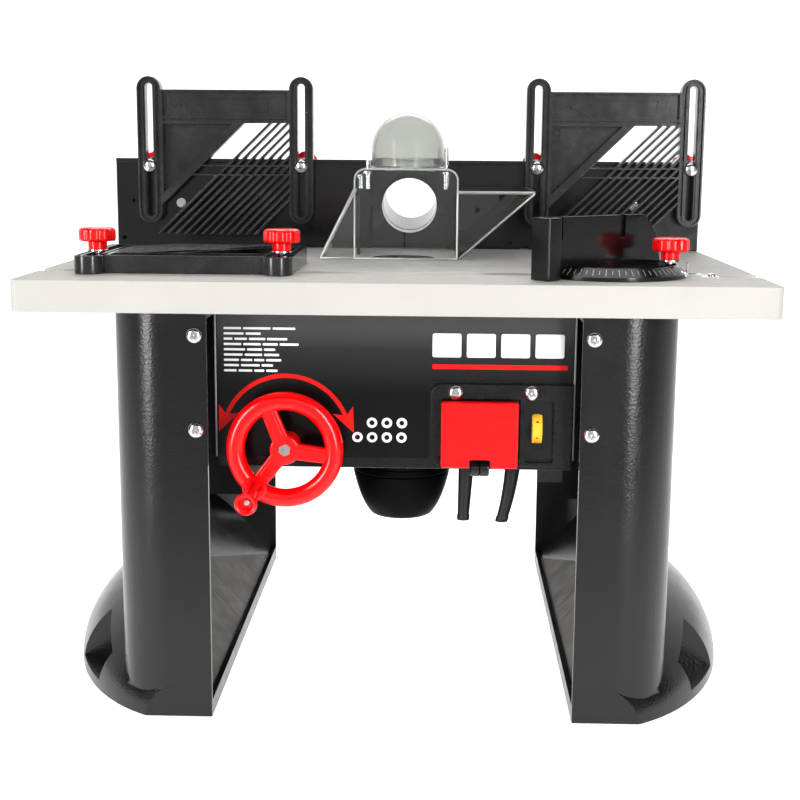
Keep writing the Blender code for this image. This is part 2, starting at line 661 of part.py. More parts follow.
def build_boots():
    top = 0.2072 - GAP - 0.0006
    for name, x, lean, bend in (("cord_boot_left", 0.0590, -0.0022, 0.0),
                                ("cord_boot_right", 0.0975, -0.0030, -0.0060)):
        count = 8
        points = []
        for index in range(count + 1):
            share = index / count
            points.append((x + lean * share + bend * share * share, depth(0.058),
                           top - 0.0525 * share))
        cord_boot(name, points, 0.0066, 0.0048)


# ---- fence, dust port and guard -----------------------------------------------------------
FENCE_BACK = FENCE_FACE + FENCE_THICK
FENCE_STUD = 0.418
FENCE_STUD_X = 0.170
FENCE_TRAVEL = 0.050
FENCE_REAR = 0.014
HOOD_BACK = 0.405
HOOD_HALF = 0.045


def lobed_outline(radius, lobes, depth_of_flute):
    """A closed outline with soft lobes."""
    steps = lobes * 4
    points = []
    for index in range(steps):
        angle = 2 * math.pi * index / steps
        reach = radius - depth_of_flute * (0.5 - 0.5 * math.cos(lobes * angle))
        points.append((reach * math.cos(angle), reach * math.sin(angle)))
    return points


def knob(name, seat, axis, stud_radius, stud_length, foot=None):
    """A lobed knob on its seat: cap, neck and, if it has one, the stud it turns."""
    seat = Vector(seat)
    along = Vector(axis)
    neck, cap, radius = 0.0080, 0.0120, 0.0152
    item = plate(name, [lobed_outline(radius, 8, 0.0016)], cap, seat + along * (neck + cap / 2),
                 towards(axis), "red_plastic")
    join(item, rod(name + "_neck", 0.0080, seat, seat + along * (neck + 0.001), segments=16))
    if stud_length:
        join(item, rod(name + "_stud", stud_radius, seat - along * (stud_length + 0.001),
                       seat + along * 0.002, segments=12))
    if foot:
        join(item, rod(name + "_foot", foot[0], seat - along * (stud_length + foot[1]),
                       seat - along * stud_length, segments=16))
    return item


def build_fence():
    z = TABLE_HEIGHT + GAP
    top = TABLE_HEIGHT + FENCE_HEIGHT
    half = TABLE_WIDTH / 2
    left_end = GUARD_X - FENCE_GAP / 2
    right_end = GUARD_X + FENCE_GAP / 2
    faces = []
    for name, start, end, bolts in (
            ("fence_face_left", -half, left_end, board_bolt_places(LEFT_BOARD_X)),
            ("fence_face_right", right_end, half, board_bolt_places(RIGHT_BOARD_X))):
        face = box(name, (start, depth(FENCE_FACE), z), (end, depth(FENCE_BACK), top),
                   "black_plastic", bevel=0.0012)
        for x in bolts:
            spot = (x, depth(FENCE_FACE - 0.01), TABLE_HEIGHT + BOLT_RAISE)
            cut(face, rod("bolt_hole", 0.0036, spot, (x, depth(FENCE_BACK + 0.01), spot[2]),
                          segments=16))
        faces.append(face)

    base_front = depth(FENCE_BACK) + GAP
    base = box("fence_base", (-half + 0.004, base_front, z), (half - 0.004, base_front + 0.052,
                                                               z + 0.006), "black_plastic")
    wall = box("fence_wall", (-half + 0.004, base_front, z),
               (half - 0.004, base_front + 0.004, TABLE_HEIGHT + 0.070))
    hood = box("dust_hood", (GUARD_X - HOOD_HALF, base_front, z),
               (GUARD_X + HOOD_HALF, depth(HOOD_BACK), TABLE_HEIGHT + 0.084))
    join(base, wall, hood)
    window = FENCE_GAP / 2 - 0.001
    inside = box("hood_inside", (GUARD_X - window, depth(0.3), z + 0.004),
                 (GUARD_X + window, depth(HOOD_BACK - 0.004), TABLE_HEIGHT + 0.080))
    port_z = TABLE_HEIGHT + PORT_Z
    port_hole = rod("port_hole", PORT_RADIUS, (GUARD_X, depth(0.39), port_z),
                    (GUARD_X, depth(0.43), port_z), segments=40)
    studs = [rod("stud_hole", 0.0034, (side * FENCE_STUD_X, depth(FENCE_STUD), z - 0.01),
                 (side * FENCE_STUD_X, depth(FENCE_STUD), z + 0.02), segments=16)
             for side in (-1, 1)]
    reliefs = [box("bolt_relief", (x - 0.017, base_front - 0.01, TABLE_HEIGHT + 0.060),
                   (x + 0.017, base_front + 0.01, TABLE_HEIGHT + 0.1))
               for x in (*board_bolt_places(LEFT_BOARD_X), *board_bolt_places(RIGHT_BOARD_X))]
    cut(base, inside, port_hole, *studs, *reliefs)

    tilt = math.radians(PORT_TILT)
    along = Vector((0, math.cos(tilt), math.sin(tilt)))
    port_profile = [(PORT_RADIUS + 0.0028, PORT_LENGTH), (PORT_RADIUS + 0.0036, 0),
                    (PORT_RADIUS, 0), (PORT_RADIUS - 0.0008, PORT_LENGTH)]
    lead = 0.006
    port_start = Vector((GUARD_X, depth(HOOD_BACK), port_z)) - along * lead
    port = turned("dust_port", port_profile, port_start, along, "black_plastic", 40)
    cut(port, box("port_trim", (GUARD_X - 0.06, depth(0.36), TABLE_HEIGHT - 0.02),
                  (GUARD_X + 0.06, depth(HOOD_BACK) + GAP, TABLE_HEIGHT + 0.12)))

    knobs = []
    stud = PLATE_THICK + 0.006 + 0.0009
    for side, name in ((-1, "fence_knob_left"), (1, "fence_knob_right")):
        seat = (side * FENCE_STUD_X, depth(FENCE_STUD), z + 0.006 + GAP)
        item = knob(name, seat, (0, 0, 1), 0.0030, stud, foot=(0.0080, 0.0040))
        knobs.append(pivot(name + "_axis", seat, item))
    return [*faces, base, port, *knobs]


def board_bolt_places(board_x):
    reach = BOARD_WIDTH / 2 - ARM_WIDTH / 2
    return (board_x - reach, board_x + reach)


def build_guard():
    """Clear hood that floats on two posts, with a dome and ramped wings."""
    z = TABLE_HEIGHT + GAP
    top = TABLE_HEIGHT + GUARD_HEIGHT
    left, right = GUARD_X - GUARD_HALF, GUARD_X + GUARD_HALF
    front, back = depth(GUARD_FRONT), depth(FENCE_FACE) - 0.0004
    hood = box("guard_hood", (left, front, z), (right, back, top), "clear_plastic", bevel=0.003)
    wall = GUARD_WALL

    ramp = [(right - wall, 0), (right + 0.002, 0), (0.1225, 0.0605), (0.1225, 0.0635),
            (right - wall, 0.0635)]
    facing = Matrix.Rotation(math.radians(90), 3, "X")
    length = back - front - WING_SHORT
    wing_right = plate("wing_right", [ramp], length, (0, front + length / 2, z), facing)
    skirt = [(left + wall, 0), (-0.077, 0), (-0.0775, 0.002), (left, 0.066), (left + wall, 0.066)]
    wing_left = plate("wing_left", [skirt], 0.060, (0, front + 0.030, z), facing)
    join(hood, wing_right, wing_left)

    inner_ramp = [(right - wall - 0.001, -0.01), (right + 0.002 - 0.0036 - 0.007, -0.01),
                  (right + 0.002 - 0.0036, 0), (0.1225 - 0.0054, 0.0605 - 0.0005),
                  (right - wall - 0.001, 0.0605)]
    hollow = box("hood_hollow", (left + wall, front + wall, z - 0.01),
                 (right - wall, back + 0.01, top - wall))
    ramp_hollow = plate("ramp_hollow", [inner_ramp], length, (0, front - wall + length / 2, z),
                        facing)
    inner_skirt = [(left + wall + 0.001, -0.01), (-0.0735, -0.01), (-0.0735, 0),
                   (left + 0.0010, 0.058), (left + wall + 0.001, 0.058)]
    skirt_hollow = plate("skirt_hollow", [inner_skirt], 0.060, (0, front + 0.030 + wall, z), facing)
    axis = (GUARD_X, depth(DOME_DEPTH))
    dome_hole = rod("dome_hole", DOME_RADIUS - 0.004, (*axis, top - 0.01), (*axis, top + 0.01),
                    segments=40)
    posts = [rod("post_hole", 0.0034, (x, back - POST_BACK, top - 0.02),
                 (x, back - POST_BACK, top + 0.02), segments=16) for x in POST_X]
    cut(hood, hollow, ramp_hollow, skirt_hollow, dome_hole, *posts)

    shell = 0.0022
    straight = DOME_HEIGHT - DOME_RADIUS
    outer = [(r, straight + h) for r, h in arc((0, 0), DOME_RADIUS, 90, 0, 6)]
    inner = [(r, straight + h) for r, h in arc((0, 0), DOME_RADIUS - shell, 0, 90, 6)]
    outer[0], inner[-1] = (0, DOME_HEIGHT), (0, DOME_HEIGHT - shell)
    profile = outer + [(DOME_RADIUS + 0.001, 0), (DOME_RADIUS - shell, 0)] + inner
    dome = turned("guard_dome", profile, (*axis, top + GAP), (0, 0, 1), "frosted_plastic", 28)

    posts = []
    for name, x, rise in (("guard_post_left", POST_X[0], 0.006), ("guard_post_right", POST_X[1], 0.019)):
        y = back - POST_BACK
        low = TABLE_HEIGHT + GUARD_HEIGHT - wall - 0.020
        profile = [(0, top + rise), (0.0052, top + rise), (0.0052, top + rise - 0.003),
                   (0.0030, top + rise - 0.003), (0.0030, low), (0, low)]
        post = turned(name, profile, (x, y, 0), (0, 0, 1), "zinc", 12)
        posts.append(post)
    pivot("guard_lift", (GUARD_X, back, TABLE_HEIGHT), hood, dome)
    return posts


POST_X = (-0.0388, 0.0400)
POST_BACK = 0.0105


# ---- featherboards ------------------------------------------------------------------------
def finger_edge(index, right, y):
    """X of a finger's left or right edge at a height on the board."""
    slope = 1 / math.tan(math.radians(FINGER_ANGLE))
    across = FINGER_THICK / math.sin(math.radians(FINGER_ANGLE)) if right else 0.0
    return FIRST_TIP + FINGER_PITCH * index + across + slope * (y + FINGER_REACH)


def finger_height(index, right, x):
    """Height on the board where a finger's edge reaches the given X."""
    slope = 1 / math.tan(math.radians(FINGER_ANGLE))
    return (x - finger_edge(index, right, 0)) / slope


def brace_edge(y, left=False):
    """X of the slanted brace's edge at a height on the board."""
    slope = 1 / math.tan(math.radians(FINGER_ANGLE))
    return BRACE_X + slope * (y - 0.099) - (0.0057 if left else 0.0)


def bowed(points):
    """The same points with rows of equal height bowed a little, so none lie in line."""
    return [(x, y + 0.0005 * (x / 0.065) ** 2) for x, y in points]


def board_outline():
    """Outer outline of a featherboard, with the open ends of its fingers."""
    arm = (BOARD_WIDTH - ARM_WIDTH) / 2
    inner = arm - ARM_WIDTH / 2
    radius = ARM_WIDTH / 2
    slope = 1 / math.tan(math.radians(FINGER_ANGLE))
    points = [(-inner, 0.099 - (BRACE_X + inner) / slope), (brace_edge(TIE_LOW), TIE_LOW)]
    points.append((finger_edge(0, False, TIE_LOW), TIE_LOW))
    for index in range(FINGER_COUNT):
        points += [(finger_edge(index, False, -FINGER_REACH), -FINGER_REACH),
                   (finger_edge(index, True, -FINGER_REACH), -FINGER_REACH)]
        if index == FINGER_COUNT - 1:
            points.append((inner, finger_height(index, True, inner)))
            continue
        left, right = finger_edge(index, True, TIE_LOW), finger_edge(index + 1, False, TIE_LOW)
        if left > inner - 0.001:
            points.append((inner, finger_height(index, True, inner)))
        else:
            points.append((left, TIE_LOW))
            if right > inner:
                points.append((inner, TIE_LOW))
        if right > inner:
            points.append((inner, finger_height(index + 1, False, inner)))
        else:
            points.append((right, TIE_LOW))
    points = arc((-arm, radius), radius, 180, 360, 6) + bowed(points)
    points += arc((arm, radius), radius, 180, 360, 6)
    points += arc((arm, BOARD_LENGTH - radius), radius, 0, 180, 6)
    points += [(inner, BAR_HIGH), (-inner, BAR_HIGH)]
    points += arc((-arm, BOARD_LENGTH - radius), radius, 0, 180, 6)
    return points


def board_windows():
    """The closed openings: arm slots and the spaces between the fingers."""
    arm = (BOARD_WIDTH - ARM_WIDTH) / 2
    inner = arm - ARM_WIDTH / 2
    loops = [slot_outline((side * arm, BOARD_LENGTH / 2), BOARD_LENGTH - 0.0134, ARM_SLOT, steps=4)
             for side in (-1, 1)]
    for low, high in ((TIE_LOW + TIE, TIE_HIGH), (TIE_HIGH + TIE, RIB_LOW)):
        loops.append(bowed([(brace_edge(low), low), (finger_edge(0, False, low), low),
                            (finger_edge(0, False, high), high), (brace_edge(high), high)]))
        for index in range(FINGER_COUNT - 1):
            quad = [(finger_edge(index, True, low), low), (finger_edge(index + 1, False, low), low),
                    (finger_edge(index + 1, False, high), high),
                    (finger_edge(index, True, high), high)]
            if quad[0][0] < inner - 0.004:
                loops.append(bowed(clip_right(quad, inner)))
    return loops


def featherboard(name, location, turn):
    """One moulding: two slotted arms, a cross bar, a web and slanted fingers.

    Local X runs across the board, Y from the finger tips up to the cross bar, and the
    middle of the thickness is at Z = 0. The arms start at Y = 0.
    """
    board = plate(name, [board_outline(), *board_windows()], BOARD_THICK, location, turn,
                  "black_plastic")
    inner = BOARD_WIDTH / 2 - ARM_WIDTH - 0.0015
    low = 0.031
    web = [(-inner, RIB_LOW - 0.0005), (-inner, low)]
    slope = 1 / math.tan(math.radians(FINGER_ANGLE))
    web.append((-inner + (RIB_LOW - 0.0005 - low) * slope, RIB_LOW - 0.0005))
    bar = [(-inner, BAR_LOW + 0.002), (inner, BAR_LOW + 0.002), (inner, BAR_HIGH - 0.002),
           (-inner, BAR_HIGH - 0.002)]
    outward = Vector(location) + turn @ Vector((0, 0, 0.008))
    recess = plate(name + "_recess", [web, bar], BOARD_THICK + 0.005, outward, turn)
    return cut(board, recess)


def clip_right(quad, limit):
    """Cuts a slanted quad at x = limit, keeping the left part."""
    if quad[0][0] >= limit:
        return None
    points = []
    for index, first in enumerate(quad):
        second = quad[(index + 1) % len(quad)]
        if first[0] <= limit:
            points.append(first)
        if (first[0] <= limit) != (second[0] <= limit):
            share = (limit - first[0]) / (second[0] - first[0])
            points.append((limit, first[1] + share * (second[1] - first[1])))
    return points


def build_featherboards():
    upright = Matrix.Rotation(math.radians(90), 3, "X")
    middle = depth(FENCE_FACE) - GAP - BOARD_THICK / 2
    clamps = []
    bolt = 0
    for name, x in (("left_featherboard", LEFT_BOARD_X), ("right_featherboard", RIGHT_BOARD_X)):
        spot = Vector((x, middle, TABLE_HEIGHT + BOARD_RAISE))
        board = featherboard(name, spot, upright)
        pivot(name + "_slide", spot, board)
        for bolt_x in board_bolt_places(x):
            bolt += 1
            clamps += upright_clamp(bolt, bolt_x)
    flipped = Matrix.Rotation(math.radians(180), 3, "Z")
    spot = Vector((FLAT_BOARD_X, depth(FLAT_BOARD_FRONT + BOARD_LENGTH),
                   TABLE_HEIGHT + GAP + BOARD_THICK / 2))
    flat = featherboard("flat_featherboard", spot, flipped)
    nuts = [flat_clamp(side, x) for side, x in zip(("left", "right"),
                                                   board_bolt_places(FLAT_BOARD_X))]
    carrier = pivot("flat_board_carrier", (FLAT_BOARD_X, depth(SLOT_DEPTH), TABLE_HEIGHT), *nuts)
    slide = pivot("flat_board_slide", spot, flat)
    slide.parent = carrier
    slide.matrix_parent_inverse = Matrix.Translation(carrier.location).inverted()
    return clamps


def upright_clamp(number, x):
    """Domed bolt through arm and fence, and the knob behind."""
    z = TABLE_HEIGHT + BOLT_RAISE
    front = depth(FENCE_FACE) - GAP - BOARD_THICK - GAP
    back = depth(FENCE_BACK) + 0.0004
    head = [(0, 0.0040), (0.0045, 0.0031), (0.0070, 0.0004), (0.0070, 0),
            (0.0030, 0), (0.0030, front - back - 0.012), (0, front - back - 0.012)]
    bolt = turned("board_bolt_%d" % number, head, (x, front, z), (0, -1, 0), "zinc", 16)
    item = knob("board_knob_%d" % number, (x, back, z), (0, 1, 0), 0.0033, 0.0)
    cut(item, rod("knob_bore", 0.0031, (x, back - 0.01, z), (x, back + 0.0125, z), segments=20))
    pivot("board_knob_%d_axis" % number, (x, back, z), item)
    return [bolt]


def flat_clamp(side, x):
    """T-nut with its stud, and the knob on top of the board."""
    z = TABLE_HEIGHT
    low = z - SLOT_MOUTH_DEEP - SLOT_FOOT_DEEP + GAP
    high = z - SLOT_MOUTH_DEEP - GAP
    y = depth(SLOT_DEPTH)
    half = SLOT_FOOT / 2 - GAP
    nut = box("slot_nut_" + side, (x - 0.011, y - half, low), (x + 0.011, y + half, high), "zinc")
    seat = z + GAP + BOARD_THICK + GAP
    join(nut, rod("stud", 0.0029, (x, y, low + 0.001), (x, y, seat + 0.012), segments=20))
    washer = turned("washer", [(0.0092, 0.0012), (0.0092, 0), (0.0033, 0), (0.0033, 0.0012)],
                    (x, y, seat), (0, 0, 1), None, 20)
    item = knob("flat_knob_" + side, (x, y, seat + 0.0010), (0, 0, 1), 0.0036, 0.0)
    join(item, washer)
    cut(item, rod("knob_bore", 0.0031, (x, y, seat - 0.01), (x, y, seat + 0.0125), segments=20))
    pivot("flat_knob_%s_axis" % side, (x, y, seat), item)
    return nut


# ---- mitre gauge --------------------------------------------------------------------------
def build_mitre_gauge():
    y = depth(SLOT_DEPTH)
    z = TABLE_HEIGHT
    bar = box("mitre_bar", (BAR_LEFT, y - BAR_WIDTH / 2, z - BAR_THICK + 0.0002),
              (BAR_RIGHT, y + BAR_WIDTH / 2, z + 0.0002), "zinc", bevel=0.0006)
    seat = z + 0.0002 + GAP
    turn = Matrix.Rotation(math.radians(MITRE_TURN), 3, "Z")
    spot = Vector((MITRE_X, y, seat))

    thick = 0.0100
    rim = arc((0, 0), MITRE_RADIUS, -90, 90, 20)
    head = plate("mitre_head", [rim], thick, spot + Vector((0, 0, thick / 2)), turn,
                 "black_plastic")
    bevel_cut = turned("rim_bevel", [(0.09, 0.020), (0.09, 0.004), (MITRE_RADIUS + 0.0002, 0.004),
                                     (MITRE_RADIUS - 0.009, thick + 0.0001),
                                     (MITRE_RADIUS - 0.009, 0.020)], spot, (0, 0, 1), None, 40)
    wall_low = (-0.006, -MITRE_LEFT, 0)
    wall_high = (0.003, MITRE_RADIUS, MITRE_WALL_HEIGHT)
    wall = several("mitre_wall", [(wall_low, wall_high)])
    foot = several("mitre_end", [((-0.006, -MITRE_LEFT, 0),
                                  (0.014, -MITRE_LEFT + 0.014, MITRE_WALL_HEIGHT))])
    notch = several("mitre_notches", [((-0.03, t - 0.0032, MITRE_WALL_HEIGHT - 0.019),
                                       (0.03, t + 0.0032, MITRE_WALL_HEIGHT + 0.01))
                                      for t in (-0.062, 0.012)])
    shoulder = plate("mitre_shoulder", [[(0.0410, 0.060), (0.0410, 0.0492), (0.0550, 0.0330),
                                         (0.0600, 0.0105), (0.10, 0.0105), (0.10, 0.060)]], 0.06,
                     (0, 0, 0))
    stand = Matrix(((0, 0, 1), (1, 0, 0), (0, 1, 0)))
    for item, local in ((wall, None), (foot, None), (notch, None), (shoulder, stand)):
        item.location = spot
        item.rotation_euler = (turn @ local if local else turn).to_euler()
    cut(head, bevel_cut)
    join(head, wall, foot)
    outer = arc((0, 0), MITRE_KNOB_REACH + 0.0036, -62, 62, 10)
    inner = arc((0, 0), MITRE_KNOB_REACH - 0.0036, 62, -62, 10)
    arc_slot = plate("arc_slot", [outer + inner], 0.06, spot, turn)
    hole = rod("pivot_hole", 0.0033, (MITRE_X, y, z - 0.02), (MITRE_X, y, seat + 0.0065),
               segments=20)
    cut(head, notch, shoulder, arc_slot)
    pin = rod("bar_pin", 0.0030, (MITRE_X, y, z - 0.004),
              (MITRE_X, y, seat + 0.0060), segments=20)
    cut(head, hole)
    knob_x = MITRE_X + MITRE_KNOB_REACH
    stud = rod("bar_stud", 0.0028, (knob_x, y, z - 0.004), (knob_x, y, seat + thick + 0.012),
               segments=20)
    join(bar, pin, stud)

    knob_item = knob("mitre_knob", (knob_x, y, seat + thick + 0.0013), (0, 0, 1), 0.0036, 0.0)
    washer = turned("mitre_washer", [(0.0092, 0.0012), (0.0092, 0), (0.0033, 0),
                                     (0.0033, 0.0012)], (knob_x, y, seat + thick + GAP),
                    (0, 0, 1), None, 20)
    join(knob_item, washer)
    cut(knob_item, rod("knob_bore", 0.0031, (knob_x, y, seat), (knob_x, y, seat + thick + 0.0125),
                       segments=20))

    right = MITRE_X + MITRE_RADIUS
    pointer = box("mitre_pointer", (right + 0.0005, y - 0.005, seat), (right + 0.0135, y + 0.005,
                                                                      seat + 0.0012), "zinc")
    join(pointer, several("pointer_blade", [((right + 0.0005, y - 0.004, seat),
                                             (right + 0.0017, y + 0.004, seat + 0.0105))]))
    slide = pivot("mitre_slide", (MITRE_X, y, z), bar, pointer)
    for name, location, item in (("mitre_turn", spot, head), ("mitre_knob_axis",
                                                              (knob_x, y, seat), knob_item)):
        empty = pivot(name, location, item)
        empty.parent = slide
        empty.matrix_parent_inverse = Matrix.Translation(slide.location).inverted()


def main():
    build_table()
    build_leg("left_leg", -1)
    build_leg("right_leg", 1)
    build_panel()
    build_lift()
    build_handwheel()
    build_switch()
    build_boots()
    fence_items = build_fence()
    posts = build_guard()
    clamps = build_featherboards()
    fence = pivot("fence_slide", (GUARD_X, depth(FENCE_FACE), TABLE_HEIGHT))
    riders = [*fence_items, *posts, *clamps]
    riders += [item for item in PARTS.objects
               if item.name in ("guard_lift", "left_featherboard_slide", "right_featherboard_slide")
               or item.name.startswith("board_knob_") and item.name.endswith("_axis")]
    for item in riders:
        item.parent = fence
        item.matrix_parent_inverse = Matrix.Translation(fence.location).inverted()
    build_mitre_gauge()


main()
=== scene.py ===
"""The looks of a bench router table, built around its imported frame.

Metres, +Z up, front towards -Y. D() gives a plane behind the table's front edge and T() a height
above the table, because most pieces are laid out from those two faces.
"""
import math

import bmesh
import bpy
from mathutils import Matrix, Vector


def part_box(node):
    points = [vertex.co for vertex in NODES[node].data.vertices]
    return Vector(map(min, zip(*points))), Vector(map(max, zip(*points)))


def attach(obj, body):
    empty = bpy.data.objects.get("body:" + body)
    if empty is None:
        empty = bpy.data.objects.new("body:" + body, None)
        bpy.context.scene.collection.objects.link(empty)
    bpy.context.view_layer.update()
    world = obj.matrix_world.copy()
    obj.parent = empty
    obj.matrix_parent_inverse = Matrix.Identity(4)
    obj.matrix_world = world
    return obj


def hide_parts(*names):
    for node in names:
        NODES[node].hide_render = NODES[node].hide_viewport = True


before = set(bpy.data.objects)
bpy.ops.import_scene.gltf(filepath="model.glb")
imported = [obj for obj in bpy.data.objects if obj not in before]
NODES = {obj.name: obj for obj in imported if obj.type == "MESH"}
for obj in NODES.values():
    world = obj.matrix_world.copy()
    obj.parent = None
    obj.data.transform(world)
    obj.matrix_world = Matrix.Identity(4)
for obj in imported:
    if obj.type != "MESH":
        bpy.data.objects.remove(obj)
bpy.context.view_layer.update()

TABLE_LOW, TABLE_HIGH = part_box("table_top")
TOP = TABLE_HIGH.z
MM = 0.001


def D(distance):
    return TABLE_LOW.y + distance * MM


def T(height):
    return TOP + height * MM


# ---- materials ----------------------------------------------------------------------------
def new_material(name, colour, roughness, metallic=0.0, specular=0.5):
    material = bpy.data.materials.new(name)
    material.use_nodes = True
    shader = material.node_tree.nodes["Principled BSDF"]
    shader.inputs["Base Color"].default_value = (*colour, 1)
    shader.inputs["Roughness"].default_value = roughness
    shader.inputs["Metallic"].default_value = metallic
    shader.inputs["Specular IOR Level"].default_value = specular
    return material, material.node_tree, shader


def noise_node(tree, scale, detail=3.0, roughness=0.55, stretch=None):
    """A noise texture in object space, optionally stretched along an axis."""
    coords = tree.nodes.new("ShaderNodeTexCoord")
    noise = tree.nodes.new("ShaderNodeTexNoise")
    noise.inputs["Scale"].default_value = scale
    noise.inputs["Detail"].default_value = detail
    noise.inputs["Roughness"].default_value = roughness
    source = coords.outputs["Object"]
    if stretch:
        mapping = tree.nodes.new("ShaderNodeMapping")
        mapping.inputs["Scale"].default_value = stretch
        tree.links.new(source, mapping.inputs["Vector"])
        source = mapping.outputs["Vector"]
    tree.links.new(source, noise.inputs["Vector"])
    return noise


def ramp_node(tree, source, stops):
    """A colour ramp; stops are (position, colour)."""
    ramp = tree.nodes.new("ShaderNodeValToRGB")
    elements = ramp.color_ramp.elements
    while len(elements) < len(stops):
        elements.new(0.5)
    for element, (position, colour) in zip(elements, stops):
        element.position = position
        element.color = (*colour, 1)
    tree.links.new(source, ramp.inputs["Fac"])
    return ramp


def map_node(tree, source, low, high, start=0.3, stop=0.7):
    """Takes the source's start and stop to low and high."""
    node = tree.nodes.new("ShaderNodeMapRange")
    for name, value in (("From Min", start), ("From Max", stop), ("To Min", low), ("To Max", high)):
        node.inputs[name].default_value = value
    tree.links.new(source, node.inputs["Value"])
    return node.outputs["Result"]


def bump_node(tree, shader, source, strength, distance):
    bump = tree.nodes.new("ShaderNodeBump")
    bump.inputs["Strength"].default_value = strength
    bump.inputs["Distance"].default_value = distance
    tree.links.new(source, bump.inputs["Height"])
    tree.links.new(bump.outputs["Normal"], shader.inputs["Normal"])


def coordinate(tree, axis):
    """One coordinate of the shaded point in object space, in metres."""
    coords = tree.nodes.new("ShaderNodeTexCoord")
    split = tree.nodes.new("ShaderNodeSeparateXYZ")
    tree.links.new(coords.outputs["Object"], split.inputs["Vector"])
    return split.outputs[axis]


def moulded(name, colour, roughness, grain=0.10, grain_scale=2200, mottle=0.18, mottle_scale=9,
            metallic=0.0, specular=0.5, stretch=None):
    """Moulded or plated surface: clouded colour, uneven gloss and a fine grain."""
    material, tree, shader = new_material(name, colour, roughness, metallic, specular)
    cloud = noise_node(tree, mottle_scale, 5.0)
    dark = [max(0.0, c * (1 - mottle)) for c in colour]
    light = [min(1.0, c * (1 + mottle)) for c in colour]
    ramp = ramp_node(tree, cloud.outputs["Fac"], [(0.32, dark), (0.68, light)])
    tree.links.new(ramp.outputs["Color"], shader.inputs["Base Color"])
    smear = noise_node(tree, mottle_scale * 5, 3.0)
    gloss = map_node(tree, smear.outputs["Fac"], roughness * 0.82, min(1.0, roughness * 1.22))
    tree.links.new(gloss, shader.inputs["Roughness"])
    fine = noise_node(tree, grain_scale, 2.0, 0.6, stretch)
    bump_node(tree, shader, fine.outputs["Fac"], grain, 0.0002)
    return material


def clear_plastic(name, colour, roughness, transmission=1.0, haze=0.0, ior=1.4):
    """Clear moulding with faint streaks in its gloss, more or less frosted."""
    material, tree, shader = new_material(name, colour, roughness)
    shader.inputs["Transmission Weight"].default_value = transmission
    shader.inputs["IOR"].default_value = ior
    streaks = noise_node(tree, 18, 3.0, stretch=(1, 1, 0.25))
    gloss = map_node(tree, streaks.outputs["Fac"], roughness, roughness + 0.03 + haze)
    tree.links.new(gloss, shader.inputs["Roughness"])
    waves = noise_node(tree, 60, 2.0)
    bump_node(tree, shader, waves.outputs["Fac"], 0.05, 0.0004)
    return material


LABEL_FADE = 0.212, 0.329               # heights between which the label's grey comes in


def label_material():
    """Printed label: a grey that fades to black down its height."""
    material, tree, shader = new_material("printed_label", (0.01, 0.01, 0.01), 0.22, specular=0.25)
    height = map_node(tree, coordinate(tree, "Z"), 0.0, 1.0, *LABEL_FADE)
    ramp = ramp_node(tree, height,
                     [(0.0, (0.002,) * 3), (0.45, (0.002,) * 3), (0.75, (0.020,) * 3),
                      (1.0, (0.085,) * 3)])
    tree.links.new(ramp.outputs["Color"], shader.inputs["Base Color"])
    specks = noise_node(tree, 1400, 2.0)
    gloss = map_node(tree, specks.outputs["Fac"], 0.18, 0.28)
    tree.links.new(gloss, shader.inputs["Roughness"])
    return material


TABLE = moulded("table_plastic", (0.46, 0.45, 0.42), 0.55, grain=0.25, grain_scale=1500,
                mottle=0.03, mottle_scale=14)
BLACK = moulded("black_gloss", (0.003, 0.003, 0.0035), 0.16, grain=0.05, grain_scale=700,
                mottle=0.5, mottle_scale=16, specular=0.55)
# Its strongly clouded colour is painted reflection: soft pale clouds of reflected light on the boards'
# dark faces.
BOARD = moulded("board_gloss_painted_reflection", (0.013, 0.013, 0.014), 0.20, grain=0.12, grain_scale=420,
                mottle=0.9, mottle_scale=26, specular=0.6)
LEG = moulded("leg_grain", (0.004, 0.004, 0.0045), 0.215, grain=1.0, grain_scale=480,
              mottle=0.35, mottle_scale=7, specular=0.45)
# Pale greys painted inside the black legs: painted light on the inner wall and on the web over each
# foot.
WEB_LIGHT_PAINT = moulded("leg_painted_light", (0.10, 0.095, 0.085), 0.60, grain=0.4, grain_scale=600,
                 mottle=0.35, mottle_scale=12, specular=0.3)
WALL_LIGHT_PAINT = moulded("leg_wall_light_paint", (0.17, 0.16, 0.145), 0.60, grain=0.4, grain_scale=600,
               mottle=0.35, mottle_scale=12, specular=0.3)
MOTOR = moulded("motor_satin", (0.0015, 0.0015, 0.0015), 0.45, grain=0.2, grain_scale=900,
                mottle=0.2, specular=0.08)
PANEL = moulded("panel_paint", (0.004, 0.004, 0.004), 0.28, grain=0.10, grain_scale=1200,
                mottle=0.2, mottle_scale=20, specular=0.35)
# Light grey metal: on the front panel's folded side edges it is a painted highlight; the mitre head's
# graduation ticks use it too.
HIGHLIGHT_AND_TICK_GREY = moulded("edge_highlight_and_tick_grey", (0.42, 0.42, 0.43), 0.35, grain=0.05, metallic=0.7, mottle=0.08)
RED = moulded("red_gloss", (0.86, 0.0, 0.001), 0.20, grain=0.03, grain_scale=700, mottle=0.05,
              mottle_scale=25, specular=0.45)
GREEN = moulded("green_gloss", (0.02, 0.28, 0.05), 0.28, grain=0.05, mottle=0.08)
YELLOW = moulded("yellow_gloss", (0.84, 0.46, 0.015), 0.30, grain=0.05, mottle=0.06)
INK_RED = moulded("red_ink", (0.74, 0.006, 0.006), 0.40, grain=0.03, mottle=0.03, specular=0.2)
INK_WHITE = moulded("white_ink", (0.84, 0.84, 0.84), 0.45, grain=0.03, mottle=0.02)
ZINC = moulded("zinc_plate", (0.74, 0.75, 0.77), 0.16, grain=0.06, grain_scale=800, mottle=0.12,
               mottle_scale=60, metallic=1.0)
